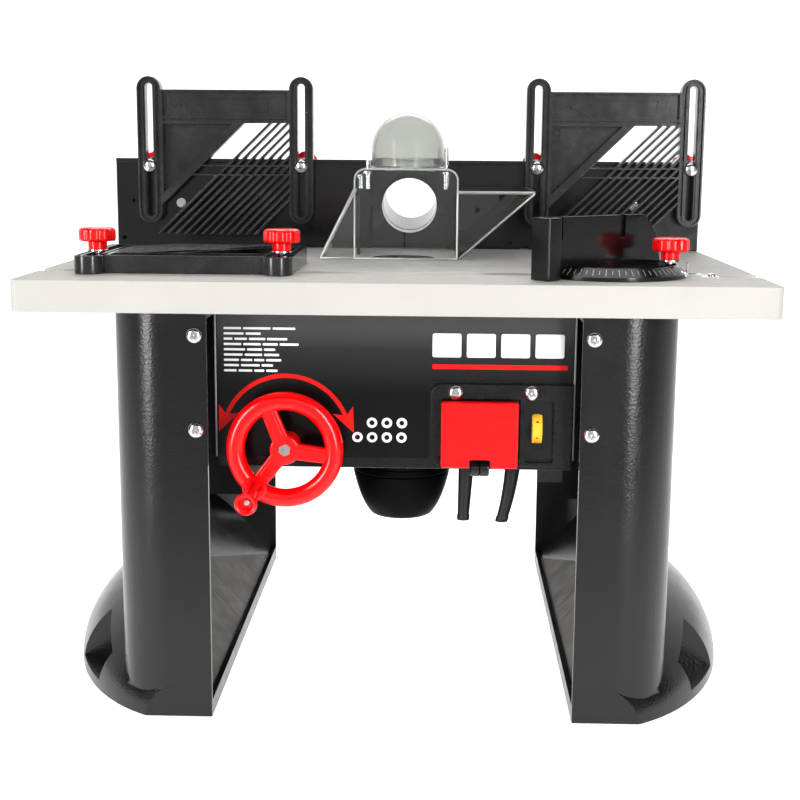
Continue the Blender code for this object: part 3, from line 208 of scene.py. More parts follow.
STEEL = moulded("turned_steel", (0.50, 0.50, 0.52), 0.32, grain=0.20, grain_scale=260,
                mottle=0.12, mottle_scale=30, metallic=1.0, stretch=(1, 1, 14))
CAST = moulded("cast_alloy", (0.36, 0.37, 0.38), 0.52, grain=0.5, grain_scale=500, mottle=0.12,
               mottle_scale=25, metallic=0.9)
RUBBER = moulded("sleeve_rubber", (0.005, 0.005, 0.005), 0.50, grain=0.25, grain_scale=900,
                 mottle=0.25, specular=0.35)
CLEAR = clear_plastic("guard_clear", (0.97, 0.985, 0.98), 0.01, ior=1.45)
FROST = clear_plastic("dome_frosted", (0.63, 0.64, 0.61), 0.10, 0.93, haze=0.05, ior=1.15)
# Pale, barely clear tubes along the guard's edges: painted highlights for the bright edges of the clear
# moulding.
EDGE_GLINT = clear_plastic("guard_edge_glint", (0.93, 0.94, 0.90), 0.18, 0.25, haze=0.05, ior=1.40)
LABEL = label_material()


# ---- mesh helpers -------------------------------------------------------------------------
def polish(mesh, angle=32):
    mesh.shade_smooth()
    mesh.set_sharp_from_angle(angle=math.radians(angle))
    return mesh


def new_object(name, data):
    item = bpy.data.objects.new(name, data)
    bpy.context.scene.collection.objects.link(item)
    return item


def applied(item, *tools):
    """An object's mesh with its modifiers applied; the object and its tools are removed."""
    graph = bpy.context.evaluated_depsgraph_get()
    mesh = bpy.data.meshes.new_from_object(item.evaluated_get(graph))
    for old in (item, *tools):
        bpy.data.objects.remove(old, do_unlink=True)
    return mesh


def weighted(mesh):
    """Normals that follow the large faces, so that rounded edges don't shade the flats."""
    item = new_object(mesh.name, mesh)
    modifier = item.modifiers.new("normals", "WEIGHTED_NORMAL")
    modifier.keep_sharp = True
    modifier.weight = 100
    return applied(item)


def from_bmesh(name, bm, angle=32):
    bmesh.ops.recalc_face_normals(bm, faces=bm.faces)
    mesh = bpy.data.meshes.new(name)
    bm.to_mesh(mesh)
    bm.free()
    return polish(mesh, angle)


def towards(axis):
    """Rotation that takes +Z to the axis."""
    return Vector((0, 0, 1)).rotation_difference(Vector(axis)).to_matrix().to_4x4()


def bridge(bm, rings, closed=False):
    """Faces from each ring of points to the next; a ring of one point is a pole."""
    pairs = list(zip(rings, rings[1:]))
    if closed:
        pairs.append((rings[-1], rings[0]))
    for first, second in pairs:
        steps = max(len(first), len(second))
        for k in range(steps):
            n = (k + 1) % steps
            if len(first) == 1:
                bm.faces.new((first[0], second[k], second[n]))
            elif len(second) == 1:
                bm.faces.new((first[k], first[n], second[0]))
            else:
                bm.faces.new((first[k], first[n], second[n], second[k]))


def lathe(name, profile, steps=48, matrix=None, angle=32):
    """Solid of revolution about +Z. The profile is (radius, height) pairs in millimetres, and is
    closed on itself when it starts away from the axis."""
    bm = bmesh.new()
    rings = []
    for radius, height in profile:
        if radius < 1e-6:
            rings.append([bm.verts.new((0, 0, height * MM))])
            continue
        rings.append([bm.verts.new((radius * MM * math.cos(2 * math.pi * k / steps),
                                    radius * MM * math.sin(2 * math.pi * k / steps),
                                    height * MM)) for k in range(steps)])
    bridge(bm, rings, closed=len(rings[0]) > 1 and len(rings[-1]) > 1)
    if matrix is not None:
        bmesh.ops.transform(bm, matrix=matrix, verts=bm.verts)
    return from_bmesh(name, bm, angle)


def torus(name, major, minor, around, across):
    """Ring about +Z, its radii in millimetres."""
    bm = bmesh.new()
    rings = []
    for i in range(around):
        a = 2 * math.pi * i / around
        ring = []
        for j in range(across):
            b = 2 * math.pi * j / across
            radius = (major + minor * math.cos(b)) * MM
            ring.append(bm.verts.new((radius * math.cos(a), radius * math.sin(a),
                                      minor * math.sin(b) * MM)))
        rings.append(ring)
    bridge(bm, rings, closed=True)
    return from_bmesh(name, bm, 60)


def slab(name, loops, low, high, matrix=None, edge=0.0):
    """A flat outline with holes between two heights, in millimetres, with rounded edges."""
    curve = bpy.data.curves.new(name, "CURVE")
    curve.dimensions = "2D"
    curve.fill_mode = "BOTH"
    curve.extrude = (high - low) / 2 * MM - edge * MM
    if edge:
        curve.bevel_depth = edge * MM
        curve.bevel_resolution = 2
        curve.offset = -edge * MM
    for loop in loops:
        spline = curve.splines.new("POLY")
        spline.points.add(len(loop) - 1)
        for point, (x, y) in zip(spline.points, loop):
            point.co = (x * MM, y * MM, 0, 1)
        spline.use_cyclic_u = True
    mesh = applied(new_object(name, curve))
    bpy.data.curves.remove(curve)
    bm = bmesh.new()
    bm.from_mesh(mesh)
    bmesh.ops.remove_doubles(bm, verts=bm.verts, dist=0.000005)
    bmesh.ops.translate(bm, vec=(0, 0, (low + high) / 2 * MM), verts=bm.verts)
    if matrix is not None:
        bmesh.ops.transform(bm, matrix=matrix, verts=bm.verts)
    bpy.data.meshes.remove(mesh)
    return from_bmesh(name, bm)


def block(name, low, high, bevel=0.0, matrix=None):
    """A block between two corners in metres, with rounded edges."""
    low, high = Vector(low), Vector(high)
    bm = bmesh.new()
    place = Matrix.Translation((low + high) / 2) @ Matrix.Diagonal((*(high - low), 1))
    bmesh.ops.create_cube(bm, size=1, matrix=place)
    if bevel:
        bmesh.ops.bevel(bm, geom=bm.edges[:], offset=bevel * MM, segments=3, profile=0.5,
                        affect="EDGES")
    if matrix is not None:
        bmesh.ops.transform(bm, matrix=matrix, verts=bm.verts)
    return from_bmesh(name, bm, 40)


def tube(name, points, radius, around=12):
    """Round rod along a path; points and radius in millimetres."""
    path = [Vector(p) for p in points]
    bm = bmesh.new()
    rings = []
    for k, point in enumerate(path):
        before = (path[k] - path[k - 1]).normalized() if k else (path[1] - path[0]).normalized()
        after = (path[k + 1] - path[k]).normalized() if k + 1 < len(path) else before
        along = (before + after).normalized()
        side = along.orthogonal() if not rings else (side - side.dot(along) * along)
        side = side.normalized()
        other = along.cross(side)
        stretch = 1 / max(0.5, along.dot(after))
        rings.append([bm.verts.new((point + radius * (math.cos(a) * side + math.sin(a) * other)
                                    * stretch) * MM)
                      for a in (2 * math.pi * j / around for j in range(around))])
    bridge(bm, rings)
    bm.faces.new(rings[0])
    bm.faces.new(rings[-1])
    return from_bmesh(name, bm, 50)


def merged(name, meshes, angle=32):
    """Several separate closed meshes as one mesh."""
    bm = bmesh.new()
    for mesh in meshes:
        bm.from_mesh(mesh)
    return from_bmesh(name, bm, angle)


def boolean(item, operation, mesh):
    """Adds a boolean with a mesh to an object, and returns the tool that holds the mesh."""
    tool = new_object(mesh.name + "_tool", mesh)
    modifier = item.modifiers.new("boolean", "BOOLEAN")
    modifier.operation = operation
    modifier.solver = "EXACT"
    modifier.object = tool
    return tool


def intersect(mesh, keep):
    item = new_object(mesh.name, mesh)
    return applied(item, boolean(item, "INTERSECT", keep))


def carve(mesh, cuts=(), adds=(), bevel=0.0, angle=32):
    """The mesh after unions and then cuts, with optional rounded edges."""
    item = new_object(mesh.name, mesh)
    tools = [boolean(item, "UNION", other) for other in adds]
    tools += [boolean(item, "DIFFERENCE", other) for other in cuts]
    if bevel:
        modifier = item.modifiers.new("edges", "BEVEL")
        modifier.width = bevel * MM
        modifier.segments = 2
        modifier.limit_method = "ANGLE"
        modifier.angle_limit = math.radians(45)
        modifier.use_clamp_overlap = True
    result = applied(item, *tools)
    result.name = mesh.name
    result.materials.clear()
    return polish(result, angle)


def show(name, mesh, material, body, *replaced, slot=None, matrix=None):
    """Puts a piece in the scene: its body, the CAD nodes it stands for and its finish, which
    follows its material."""
    mesh = weighted(mesh)
    item = new_object(name, mesh)
    mesh.materials.clear()
    mesh.materials.append(material)
    if matrix is not None:
        item.matrix_world = matrix
    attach(item, body)
    if replaced:
        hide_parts(*replaced)


def finish_node(node, material):
    """A CAD node that stays, with a better material."""
    for place in NODES[node].material_slots:
        place.material = material


# ---- outlines in millimetres --------------------------------------------------------------
def arc(cx, cy, radius, start, end, steps):
    angles = [math.radians(start + (end - start) * k / steps) for k in range(steps + 1)]
    return [(cx + radius * math.cos(a), cy + radius * math.sin(a)) for a in angles]


def circle(cx, cy, radius, steps=32):
    return arc(cx, cy, radius, 0, 360, steps)[:-1]


def stadium(cx, cy, length, width, steps=12):
    """Slot outline along Y."""
    reach = (length - width) / 2
    return (arc(cx, cy + reach, width / 2, 0, 180, steps)
            + arc(cx, cy - reach, width / 2, 180, 360, steps))


def rounded(x0, y0, x1, y1, radius, steps=6):
    return (arc(x1 - radius, y1 - radius, radius, 0, 90, steps)
            + arc(x0 + radius, y1 - radius, radius, 90, 180, steps)
            + arc(x0 + radius, y0 + radius, radius, 180, 270, steps)
            + arc(x1 - radius, y0 + radius, radius, 270, 360, steps))


def oblong(x0, y0, x1, y1):
    return [(x0, y0), (x1, y0), (x1, y1), (x0, y1)]


# How a flat outline is stood up: to face -Y; with its X and Y along X and Z and its thickness
# along +Y; with its X and Y along Y and Z and its thickness along +X.
FACING = Matrix.Rotation(math.radians(90), 4, "X")
UPRIGHT = Matrix(((1, 0, 0, 0), (0, 0, 1, 0), (0, 1, 0, 0), (0, 0, 0, 1)))
SIDEWAYS = Matrix(((0, 0, 1, 0), (1, 0, 0, 0), (0, 1, 0, 0), (0, 0, 0, 1)))


def standing(distance, height=0.0):
    """Outline X stays X, outline Y becomes height above the floor, thickness grows to the front."""
    return Matrix.Translation((0, D(distance), height * MM)) @ FACING


# ---- screws, bolts and knobs --------------------------------------------------------------
def cross_screw(radius, height, shank):
    """Pan head with a cross recess, standing on +Z."""
    dome = [(0, height), (radius * 0.35, height * 0.98), (radius * 0.62, height * 0.86),
            (radius * 0.84, height * 0.60), (radius * 0.96, height * 0.30), (radius, height * 0.1),
            (radius * 0.98, 0), (2.0, 0), (2.0, -shank), (0, -shank)]
    head = lathe("cross_screw", dome, 40)
    arm, half = radius * 0.50, radius * 0.105
    flutes = [[(-arm, -half), (arm, -half), (arm * 0.9, half), (-arm * 0.9, half)],
              [(-half, -arm), (half, -arm), (half, arm), (-half, arm)]]
    cuts = [slab("flute", [outline], height * 0.42, height + 2) for outline in flutes]
    cuts.append(lathe("dimple", [(0, height + 1), (radius * 0.26, height + 1),
                                 (radius * 0.20, height * 0.45), (0, height * 0.30)], 4))
    return carve(head, cuts)


KNOB_HEIGHT = 19.9


def knob_mesh(stud=0.0):
    """Lobed knob standing on +Z from its seat, over a stud of its own or a socket for one."""
    lobes, steps = 8, 128
    outline = [(0, KNOB_HEIGHT, 0), (5.0, 19.87, 0), (10.0, 19.7, 0.3), (13.0, 19.2, 0.8),
               (14.4, 18.4, 1), (15.0, 17.3, 1), (15.2, 16.0, 1), (15.2, 10.4, 1),
               (15.0, 9.2, 1), (14.2, 8.4, 0.9), (11.0, 8.1, 0.3), (8.2, 8.0, 0), (7.8, 7.6, 0),
               (7.6, 1.6, 0), (7.4, 1.4, 0)]
    if stud:
        outline += [(3.0, 1.4, 0), (3.0, -stud, 0), (0, -stud, 0)]
    else:
        outline += [(3.3, 1.4, 0), (3.3, 12.6, 0), (0, 12.6, 0)]
    bm = bmesh.new()
    rings = []
    for radius, height, lobing in outline:
        if radius == 0:
            rings.append([bm.verts.new((0, 0, height * MM))])
            continue
        ring = []
        for k in range(steps):
            a = 2 * math.pi * k / steps
            dip = (0.5 - 0.5 * math.cos(lobes * a)) ** 2.2
            reach = (radius - 1.1 * lobing * dip) * MM
            ring.append(bm.verts.new((reach * math.cos(a), reach * math.sin(a), height * MM)))
        rings.append(ring)
    bridge(bm, rings)
    return from_bmesh("knob", bm, 38)


WASHER = [(8.6, 1.2), (8.7, 0.9), (8.7, 0.3), (8.5, 0), (3.4, 0), (3.4, 1.2)]


def build_knobs():
    plain = knob_mesh()
    upright = ["flat_knob_left", "flat_knob_right", "mitre_knob", "fence_knob_left",
               "fence_knob_right"]
    for node in upright + ["board_knob_%d" % k for k in (1, 2, 3, 4)]:
        low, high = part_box(node)
        middle = (low + high) / 2
        if node in upright:
            seat = Matrix.Translation((middle.x, middle.y, high.z - KNOB_HEIGHT * MM))
        else:
            seat = (Matrix.Translation((middle.x, high.y - KNOB_HEIGHT * MM, middle.z))
                    @ towards((0, 1, 0)))
        mesh = plain.copy()
        if node.startswith("fence_knob"):
            mesh = knob_mesh(stud=(high.z - low.z) / MM - 20.2)
        show(node + "_cap", mesh, RED, node, node, matrix=seat)
        washer = lathe(node + "_washer", WASHER, 40)
        show(node + "_washer", washer, ZINC, node, matrix=seat)


BOLTS = ["board_bolt_%d" % k for k in (1, 2, 3, 4)]


def build_screws():
    bolt = lathe("bolt", [(0, 4.0), (2.2, 3.85), (4.2, 3.3), (5.8, 2.3), (6.7, 1.1), (7.0, 0.3),
                          (6.9, 0), (3.0, 0), (3.0, -39.4), (0, -39.4)], 48)
    for node in BOLTS:
        low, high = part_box(node)
        middle = (low + high) / 2
        seat = Matrix.Translation((middle.x, low.y + 4.0 * MM, middle.z)) @ towards((0, -1, 0))
        show(node + "_head", bolt.copy(), ZINC, "fence", node, matrix=seat)
    screw = cross_screw(6.2, 3.1, 7.6)
    for node in ("left_leg_upper_screw", "left_leg_lower_screw", "right_leg_upper_screw",
                 "right_leg_lower_screw", "switch_screw_left", "switch_screw_right"):
        low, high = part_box(node)
        middle = (low + high) / 2
        seat = Matrix.Translation((middle.x, low.y + 3.1 * MM, middle.z)) @ towards((0, -1, 0))
        turn = Matrix.Rotation(math.radians(20 + 37 * len(node)), 4, "Z")
        mesh = screw.copy() if "leg" in node else cross_screw(6.0, 2.9, 3.6)
        show(node + "_head", mesh, ZINC, "base", node, matrix=seat @ turn)
    small = cross_screw(4.8, 0.16, 0.0)
    for side in (-1, 1):
        seat = Matrix.Translation((side * 0.232, D(376.9), T(45))) @ towards((0, -1, 0))
        show("fence_screw_%s" % ("left" if side < 0 else "right"), small.copy(), ZINC, "fence",
             matrix=seat)


# ---- legs ---------------------------------------------------------------------------------
LEG_INNER, LEG_WIDTH, LEG_CORNER = 146.0, 80.0, 48.0
LEG_FRONT, LEG_BACK = 1.0, 456.0
FLARE = (151.0, 244.0, 97.0)            # half axes of the foot's swelling along X, Y and Z
SHELL = 4.0


def column_outline(wall, inner):
    """Plan of a leg's column, X measured from its inner side and Y behind the table's front."""
    radius = LEG_CORNER - wall
    x1, y0, y1 = LEG_WIDTH - wall, LEG_FRONT + wall, LEG_BACK - wall
    return ([(inner, y0)] + arc(x1 - radius, y0 + radius, radius, -90, 0, 14)
            + arc(x1 - radius, y1 - radius, radius, 0, 90, 14) + [(inner, y1)])


def ellipsoid(shrink):
    """The flare's ellipsoid about the floor line of the leg's inner side."""
    bm = bmesh.new()
    bmesh.ops.create_uvsphere(bm, u_segments=96, v_segments=48, radius=1.0)
    size = [(s - shrink) * MM for s in FLARE]
    bmesh.ops.scale(bm, vec=size, verts=bm.verts)
    bmesh.ops.translate(bm, vec=(0, (LEG_FRONT + LEG_BACK) / 2 * MM, 0), verts=bm.verts)
    return from_bmesh("flare", bm)


def millimetres(name, low, high):
    return block(name, [c * MM for c in low], [c * MM for c in high])


def pocket(middle, grow):
    """Wedge pocket in the flare, open outwards, with a ledge along its floor."""
    loop = [(90 - grow, 8 - grow), (200, 8 - grow), (200, 66 + grow), (118 - grow, 66 + grow),
            (90 - grow, 28)]
    half = 30 + grow
    return slab("pocket", [loop], middle - half, middle + half, UPRIGHT)


def leg_mesh(name):
    """A leg with its inner side on X = 0 and its outside towards +X."""
    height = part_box("left_leg")[1].z / MM
    body = slab(name, [column_outline(0, 0.0)], 0, height)
    flare = intersect(ellipsoid(0), millimetres("keep", (0, LEG_FRONT, 0), (200, LEG_BACK, 150)))
    body = carve(body, adds=[flare])
    core = slab("core", [column_outline(SHELL, -10.0)], 13, height - SHELL)
    foot = intersect(ellipsoid(SHELL), millimetres(
        "keep", (-40, LEG_FRONT + SHELL, -20), (200, LEG_BACK - SHELL, 150)))
    middles = (86.0, LEG_BACK + LEG_FRONT - 86.0)
    sill = millimetres("sill", (-60, -20, -30), (SHELL, 500, 13))
    foot = carve(foot, cuts=[sill, *(pocket(m, 3.0) for m in middles)])
    sole = millimetres("sole", (SHELL, LEG_FRONT + SHELL, -10),
                       (LEG_WIDTH - SHELL - 20, LEG_BACK - SHELL, 10))
    body = carve(body, cuts=[core, foot, sole, *(pocket(m, 0.0) for m in middles)])
    outside = LEG_WIDTH - 2
    ribs = [millimetres("rib", (SHELL + 20, y - 1.5, 85), (outside, y + 1.5, height - 5))
            for y in (50.0, LEG_BACK - 50.0)]
    ribs += [millimetres("rib", (outside - 20, y - 1.5, 105), (outside, y + 1.5, height - 5))
             for y in (150.0, 228.5, 307.0)]
    return carve(body, adds=[*ribs, leg_web(SHELL - 0.5, 0.0, LEG_FRONT, LEG_BACK)], angle=28)


def leg_web(wall, lift, low, high):
    """Sloped plate over a foot, from the rim of its inner side up to the column's outer wall."""
    profile = [(1.0, 3.0 + lift), (66.0, 75.0 + lift), (66.0, 78.0 + lift), (1.0, 6.0 + lift)]
    plate = slab("web", [profile], low, high, UPRIGHT)
    return intersect(plate, slab("keep", [column_outline(wall, 1.0)], 0, 95))


def leg_painted_light():
    """Painted light inside a leg: pale grey sheets that stand for the light on the inner face of its
    outer wall and on the sloped web over its foot.
    """
    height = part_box("left_leg")[1].z / MM
    outer, inner = column_outline(SHELL + 0.05, 0.6), column_outline(SHELL + 0.6, 0.6)
    skin = slab("skin", [outer + inner[::-1]], 92, height - 5.5)
    slots = [slab("slot", [stadium(0, 0, 46, 9)], -6, 6,
                  Matrix.Translation(((LEG_WIDTH - SHELL) * MM, y * MM, 0.262)) @ SIDEWAYS)
             for y in (300.0, 392.0)]
    skin = carve(skin, cuts=slots)
    # The grey web is cut away where shade falls on it, a painted shadow edge; the black web shows there.
    shade = slab("shade", [[(70, 0), (70, LEG_BACK), (5, LEG_BACK), (5, 430), (43, 274), (70, 240)]],
                 -5, 100)
    webs = [carve(leg_web(SHELL + 0.3, 0.8, low, high), cuts=[shade.copy()])
            for low, high in ((12, 208.8), (209.6, 246.8), (247.6, LEG_BACK - 6))]
    return skin, merged("leg_web", webs)


def mirrored(mesh):
    """The mesh for the other hand, with X reversed."""
    bm = bmesh.new()
    bm.from_mesh(mesh)
    bmesh.ops.scale(bm, vec=(-1, 1, 1), verts=bm.verts)
    bmesh.ops.reverse_faces(bm, faces=bm.faces)
    return from_bmesh(mesh.name, bm, 28)


def build_legs():
    for node, side in (("left_leg", -1), ("right_leg", 1)):
        place = Matrix.Translation((side * LEG_INNER * MM, TABLE_LOW.y, 0))
        meshes = [leg_mesh(node + "_moulding"), *leg_painted_light()]
        if side < 0:
            meshes = [mirrored(mesh) for mesh in meshes]
        moulding, skin, web = meshes
        show(node + "_moulding", moulding, LEG, "base", node, matrix=place)
        # Pale sheets of painted light inside the leg, on its outer wall and on its web.
        show(node + "_wall_light_paint", skin, WALL_LIGHT_PAINT, "base", matrix=place)
        show(node + "_web", web, WEB_LIGHT_PAINT, "base", matrix=place)


# ---- front panel --------------------------------------------------------------------------
PANEL_FACE = 30.0
PRINT = 0.30, 0.42                      # underside and face of the print on the label
WHEEL_X, WHEEL_Z = -85.5, 222.6


def arrow_arc():
    """Arc over the handwheel that ends in two arrowheads."""
    cx, cz, radius, width = WHEEL_X - 1.5, WHEEL_Z + 3.5, 51.5, 3.4
    outer = arc(cx, cz, radius + width / 2, 22, 158, 48)
    inner = arc(cx, cz, radius - width / 2, 158, 22, 48)
    meshes = [slab("arc", [outer + inner], *PRINT)]
    for side in (-1, 1):
        tip = (cx + side * 54.5, cz + 5.5)
        head = [tip, (tip[0] - side * 17.0, tip[1] + 15.5), (tip[0] - side * 6.2, tip[1] + 14.0),
                (tip[0] - side * 0.5, tip[1] + 22.0)]
        meshes.append(slab("head", [head], 0.32, 0.44))
    return merged("turn_arrow", meshes)


def build_panel():
    finish_node("front_panel", PANEL)
    low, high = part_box("front_panel")
    half = high.x / MM
    outline = rounded(-half + 1.4, 211.5, half - 1.4, high.z / MM - 1.0, 4)
    notch = rounded(27.0, 150.0, 200.0, 274.5, 3)
    front = standing(PANEL_FACE)
    label = carve(slab("label", [outline], 0.05, 0.30, front),
                  cuts=[slab("label_notch", [notch], -2, 3, front)])
    show("panel_label", label, LABEL, "base")
    show("turn_arrow", arrow_arc(), INK_RED, "base", matrix=front)
    show("badge_bar", slab("badge_bar", [rounded(30, 284.5, 137.5, 288.3, 0.8)], *PRINT),
         INK_RED, "base", matrix=front)
    blank = [slab("bar", [rounded(30 + 27.2 * k, 294, 52.8 + 27.2 * k, 313, 1.6)], *PRINT)
             for k in range(4)]
    show("badge_blocks", merged("badge_blocks", blank), INK_WHITE, "base",
         matrix=front)
    lines = []
    for k, words in enumerate(((14, 22, 18), (16, 12), (7, 10, 13, 16), (14, 14, 12, 15),
                               (17, 12, 9), (15, 14, 12), (12, 9, 8, 12), (12, 15, 9), (10, 11, 8, 9))):
        start = -136.5
        for word in words:
            lines.append(slab("line", [rounded(start, 314.6 - 4.25 * k, start + word,
                                               316.4 - 4.25 * k, 0.6)], *PRINT))
            start += word + 1.6
    show("data_lines", merged("data_lines", lines), INK_WHITE, "base", matrix=front)
    places = [(-18.0 + 12.0 * k, 240.2) for k in range(3)]
    places += [(-29.6 + 11.8 * k, 228.3) for k in range(4)]
    dots = [slab("ring", [circle(x, z, 4.2, 28), circle(x, z, 2.1, 20)], *PRINT)
            for x, z in places]
    show("info_dots", merged("info_dots", dots), INK_WHITE, "base", matrix=front)
    # Thin light grey strips down the panel's side edges: painted highlights of its folds.
    edges = [block("edge", (side * half * MM - 0.0007, D(PANEL_FACE - 0.4), low.z + 0.008),
                   (side * half * MM + 0.0007, D(PANEL_FACE + 1.2), high.z - 0.001), 0.3)
             for side in (-1, 1)]
    show("panel_edge_highlights", merged("panel_edge_highlights", edges), HIGHLIGHT_AND_TICK_GREY, "base")


# ---- handwheel ----------------------------------------------------------------------------
SPOKES = (112.0, 232.0, 352.0)


def spoke(angle):
    """A bevelled spoke from hub to rim, in the wheel's own plane (Z towards the front)."""
    mesh = slab("spoke", [[(4, -6.6), (39, -5.8), (39, 5.8), (4, 6.6)]], -3.4, 3.4, edge=1.2)
    crown = slab("crown", [[(4, -3.6), (38, -3.0), (38, 3.0), (4, 3.6)]], 2.8, 4.0, edge=0.5)
    mesh = carve(mesh, adds=[crown])
    mesh.transform(Matrix.Rotation(math.radians(angle), 4, "Z"))
    return mesh


def build_handwheel():
    front = Matrix.Translation((WHEEL_X * MM, D(5.0), WHEEL_Z * MM)) @ FACING
    rim = torus("handwheel_rim", 39.0, 7.3, around=96, across=32)
    hub = lathe("hub", [(5.0, 0.0), (5.0, 3.3), (5.6, 4.0), (10.2, 4.0), (11.4, 3.2), (11.8, 2.0),
                        (11.8, -10.0), (10.8, -16.0), (10.6, -23.0), (5.1, -23.0), (5.1, -5.0),
                        (3.0, -5.0), (3.0, 0.0)], 64)
    turn = math.radians(SPOKES[1])
    pad_at = (38.5 * math.cos(turn), 38.5 * math.sin(turn))
    pad = lathe("pad", [(0, 7.9), (8.6, 7.9), (9.6, 7.0), (9.8, 5.6), (9.8, -4.0), (0, -4.0)], 48)
    pad.transform(Matrix.Translation((pad_at[0] * MM, pad_at[1] * MM, 0)))
    wheel = carve(rim, adds=[hub, *(spoke(a) for a in SPOKES), pad], angle=38)
    show("handwheel_moulding", wheel, RED, "handwheel", "handwheel",
         matrix=front)
    cup = lathe("hub_cup", [(0, 0.5), (4.4, 0.5), (4.4, 2.8), (4.9, 2.8), (4.9, 0.15), (0, 0.15)], 40)
    show("hub_cup", cup, BLACK, "handwheel", matrix=front)
    screw = cross_screw(3.6, 1.8, 0.0)
    show("hub_screw", screw, ZINC, "handwheel",
         matrix=front @ Matrix.Translation((0, 0, 0.55 * MM)) @ Matrix.Rotation(0.6, 4, "Z"))
    low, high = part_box("crank_handle")
    middle = (low + high) / 2
    base = Matrix.Translation((middle.x, high.y, middle.z)) @ towards((0, -1, 0))
    length = (high.y - low.y) / MM
    grip = lathe("crank_grip", [
        (0, length - 7), (4.6, length - 7), (5.0, length - 6), (5.6, length - 1.2),
        (6.4, length - 0.2), (7.6, length), (8.5, length - 0.8), (8.8, length - 2.4),
        (8.4, length - 5), (7.5, length - 12), (6.7, length - 22), (6.4, 20), (6.6, 10), (7.2, 3.5),
        (7.4, 1.6), (6.9, 0.3), (6.2, 0), (0, 0)], 56, angle=50)
    show("crank_grip", grip, RED, "crank", "crank_handle", matrix=base)
    tip = cross_screw(3.2, 1.6, 0.0)
    show("crank_screw", tip, ZINC, "crank",
         matrix=base @ Matrix.Translation((0, 0, (length - 6.9) * MM)))


# ---- switch -------------------------------------------------------------------------------
SWITCH_FACE = 24.0


def build_switch():
    low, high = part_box("switch_frame")
    x0, x1, z0, z1 = (v / MM for v in (low.x, high.x, low.z, high.z))
    front = standing(SWITCH_FACE)
    c0, c1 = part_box("switch_cover")
    cx0, cx1, cz0, cz1 = (v / MM for v in (c0.x, c1.x, c0.z, c1.z))
    outline = [(x0 + 6, z0), (x1, z0), (x1, z1)] + arc(x0 + 9, z1 - 9, 9, 90, 180, 8) + [(x0, z0 + 6)]
    plate = slab("switch_plate", [outline], -5.6, 0, front, edge=0.9)
    holes = [slab("bay", [rounded(cx0 - 2, 150, cx1 + 2, cz1 + 1.4, 1.5)], -20, 5, front),
             slab("dial_bay", [rounded(103.8, z0 + 3.5, 127.2, cz1, 2.0)], -3.6, 5, front),
             slab("dial_slot", [rounded(109.85, 226.0, 118.15, 249.0, 2.5)], -20, 5, front)]
    holes += [slab("screw_hole", [circle(x, z, 2.3, 20)], -4.6, 3, front)
              for x, z in ((49.1, 266.3), (109.5, 266.7))]
    show("switch_plate", carve(plate, cuts=holes, bevel=0.35), PANEL, "base", "switch_frame")

    shell = slab("cover_shell", [rounded(cx0, cz0, cx1, cz1, 1.6)], 1.7, 11.0, front, edge=1.1)
    inside = slab("cover_inside", [rounded(cx0 + 2, cz0 + 2, cx1 - 2, cz1 - 2, 1.0)], -2, 9.0, front)
    notch = slab("cover_notch", [rounded(60.0, 190, 77.0, 214.4, 1.5)], -2, 20, front)
    middle = (cx0 + cx1) / 2
    stem = [(middle - 1.0, 250 - 9), (middle + 1.0, 250 - 9), (middle + 1.0, 227), (middle + 4.2, 227),
            (middle, 220.5), (middle - 4.2, 227), (middle - 1.0, 227)]
    arrow = slab("arrow", [stem], 10.6, 12.0, front)
    groove = slab("groove", [oblong(cx0 - 1, cz1 - 11.4, cx1 + 1, cz1 - 10.6)], 10.5, 13, front)
    side = slab("side_groove", [oblong(cx1 - 5.2, cz0 + 3, cx1 - 4.6, cz1 - 12)], 10.5, 13, front)
    cover = carve(shell, cuts=[inside, notch, arrow, groove, side], bevel=0.25)
    show("switch_cover_shell", cover, RED, "switch_cover", "switch_cover")

    low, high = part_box("cover_latch")
    length = (high.x - low.x) / MM
    roller = lathe("latch_roller", [(0, length), (4.8, length), (5.9, length - 0.8),
                                    (6.2, length - 2.2), (6.2, length * 0.55), (5.5, length * 0.5),
                                    (6.2, length * 0.45), (6.2, 2.2), (5.9, 0.8), (4.8, 0), (0, 0)],
                   48)
    seat = Matrix.Translation((low.x, (low.y + high.y) / 2, (low.z + high.z) / 2))
    show("latch_roller", roller, BLACK, "cover_latch", "cover_latch",
         matrix=seat @ towards((1, 0, 0)))

    low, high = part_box("speed_dial")
    radius, width = (high.z - low.z) / 2 / MM, (high.x - low.x) / MM
    outline = []
    for k in range(120):
        a = 2 * math.pi * k / 120
        reach = radius - (0.5 if k % 4 < 2 else 0)
        outline.append((reach * math.cos(a), reach * math.sin(a)))
    dial = slab("dial", [outline], 0, width)
    seat = Matrix.Translation((low.x, (low.y + high.y) / 2, (low.z + high.z) / 2))
    dial = carve(dial, adds=[lathe("dial_band", [(0, width * 0.78), (radius - 0.02, width * 0.78),
                                                 (radius - 0.02, width * 0.22), (0, width * 0.22)],
                                   96)])
    show("speed_dial_wheel", dial, YELLOW, "speed_dial", "speed_dial",
         matrix=seat @ towards((1, 0, 0)))
    marks = []
    for k in range(6):
        turn = Matrix.Rotation(math.radians(60 * k), 4, "Z")
        tick = block("tick", ((radius - 0.3) * MM, -0.6 * MM, width * 0.36 * MM),
                     ((radius + 0.12) * MM, 0.6 * MM, width * 0.64 * MM), 0.05, turn)
        marks.append(tick)
    show("dial_marks", merged("dial_marks", marks), BLACK, "speed_dial",
         matrix=seat @ towards((1, 0, 0)))
    for node, material in (("stop_button", RED), ("start_button", GREEN), ("control_box", BLACK)):
        finish_node(node, material)


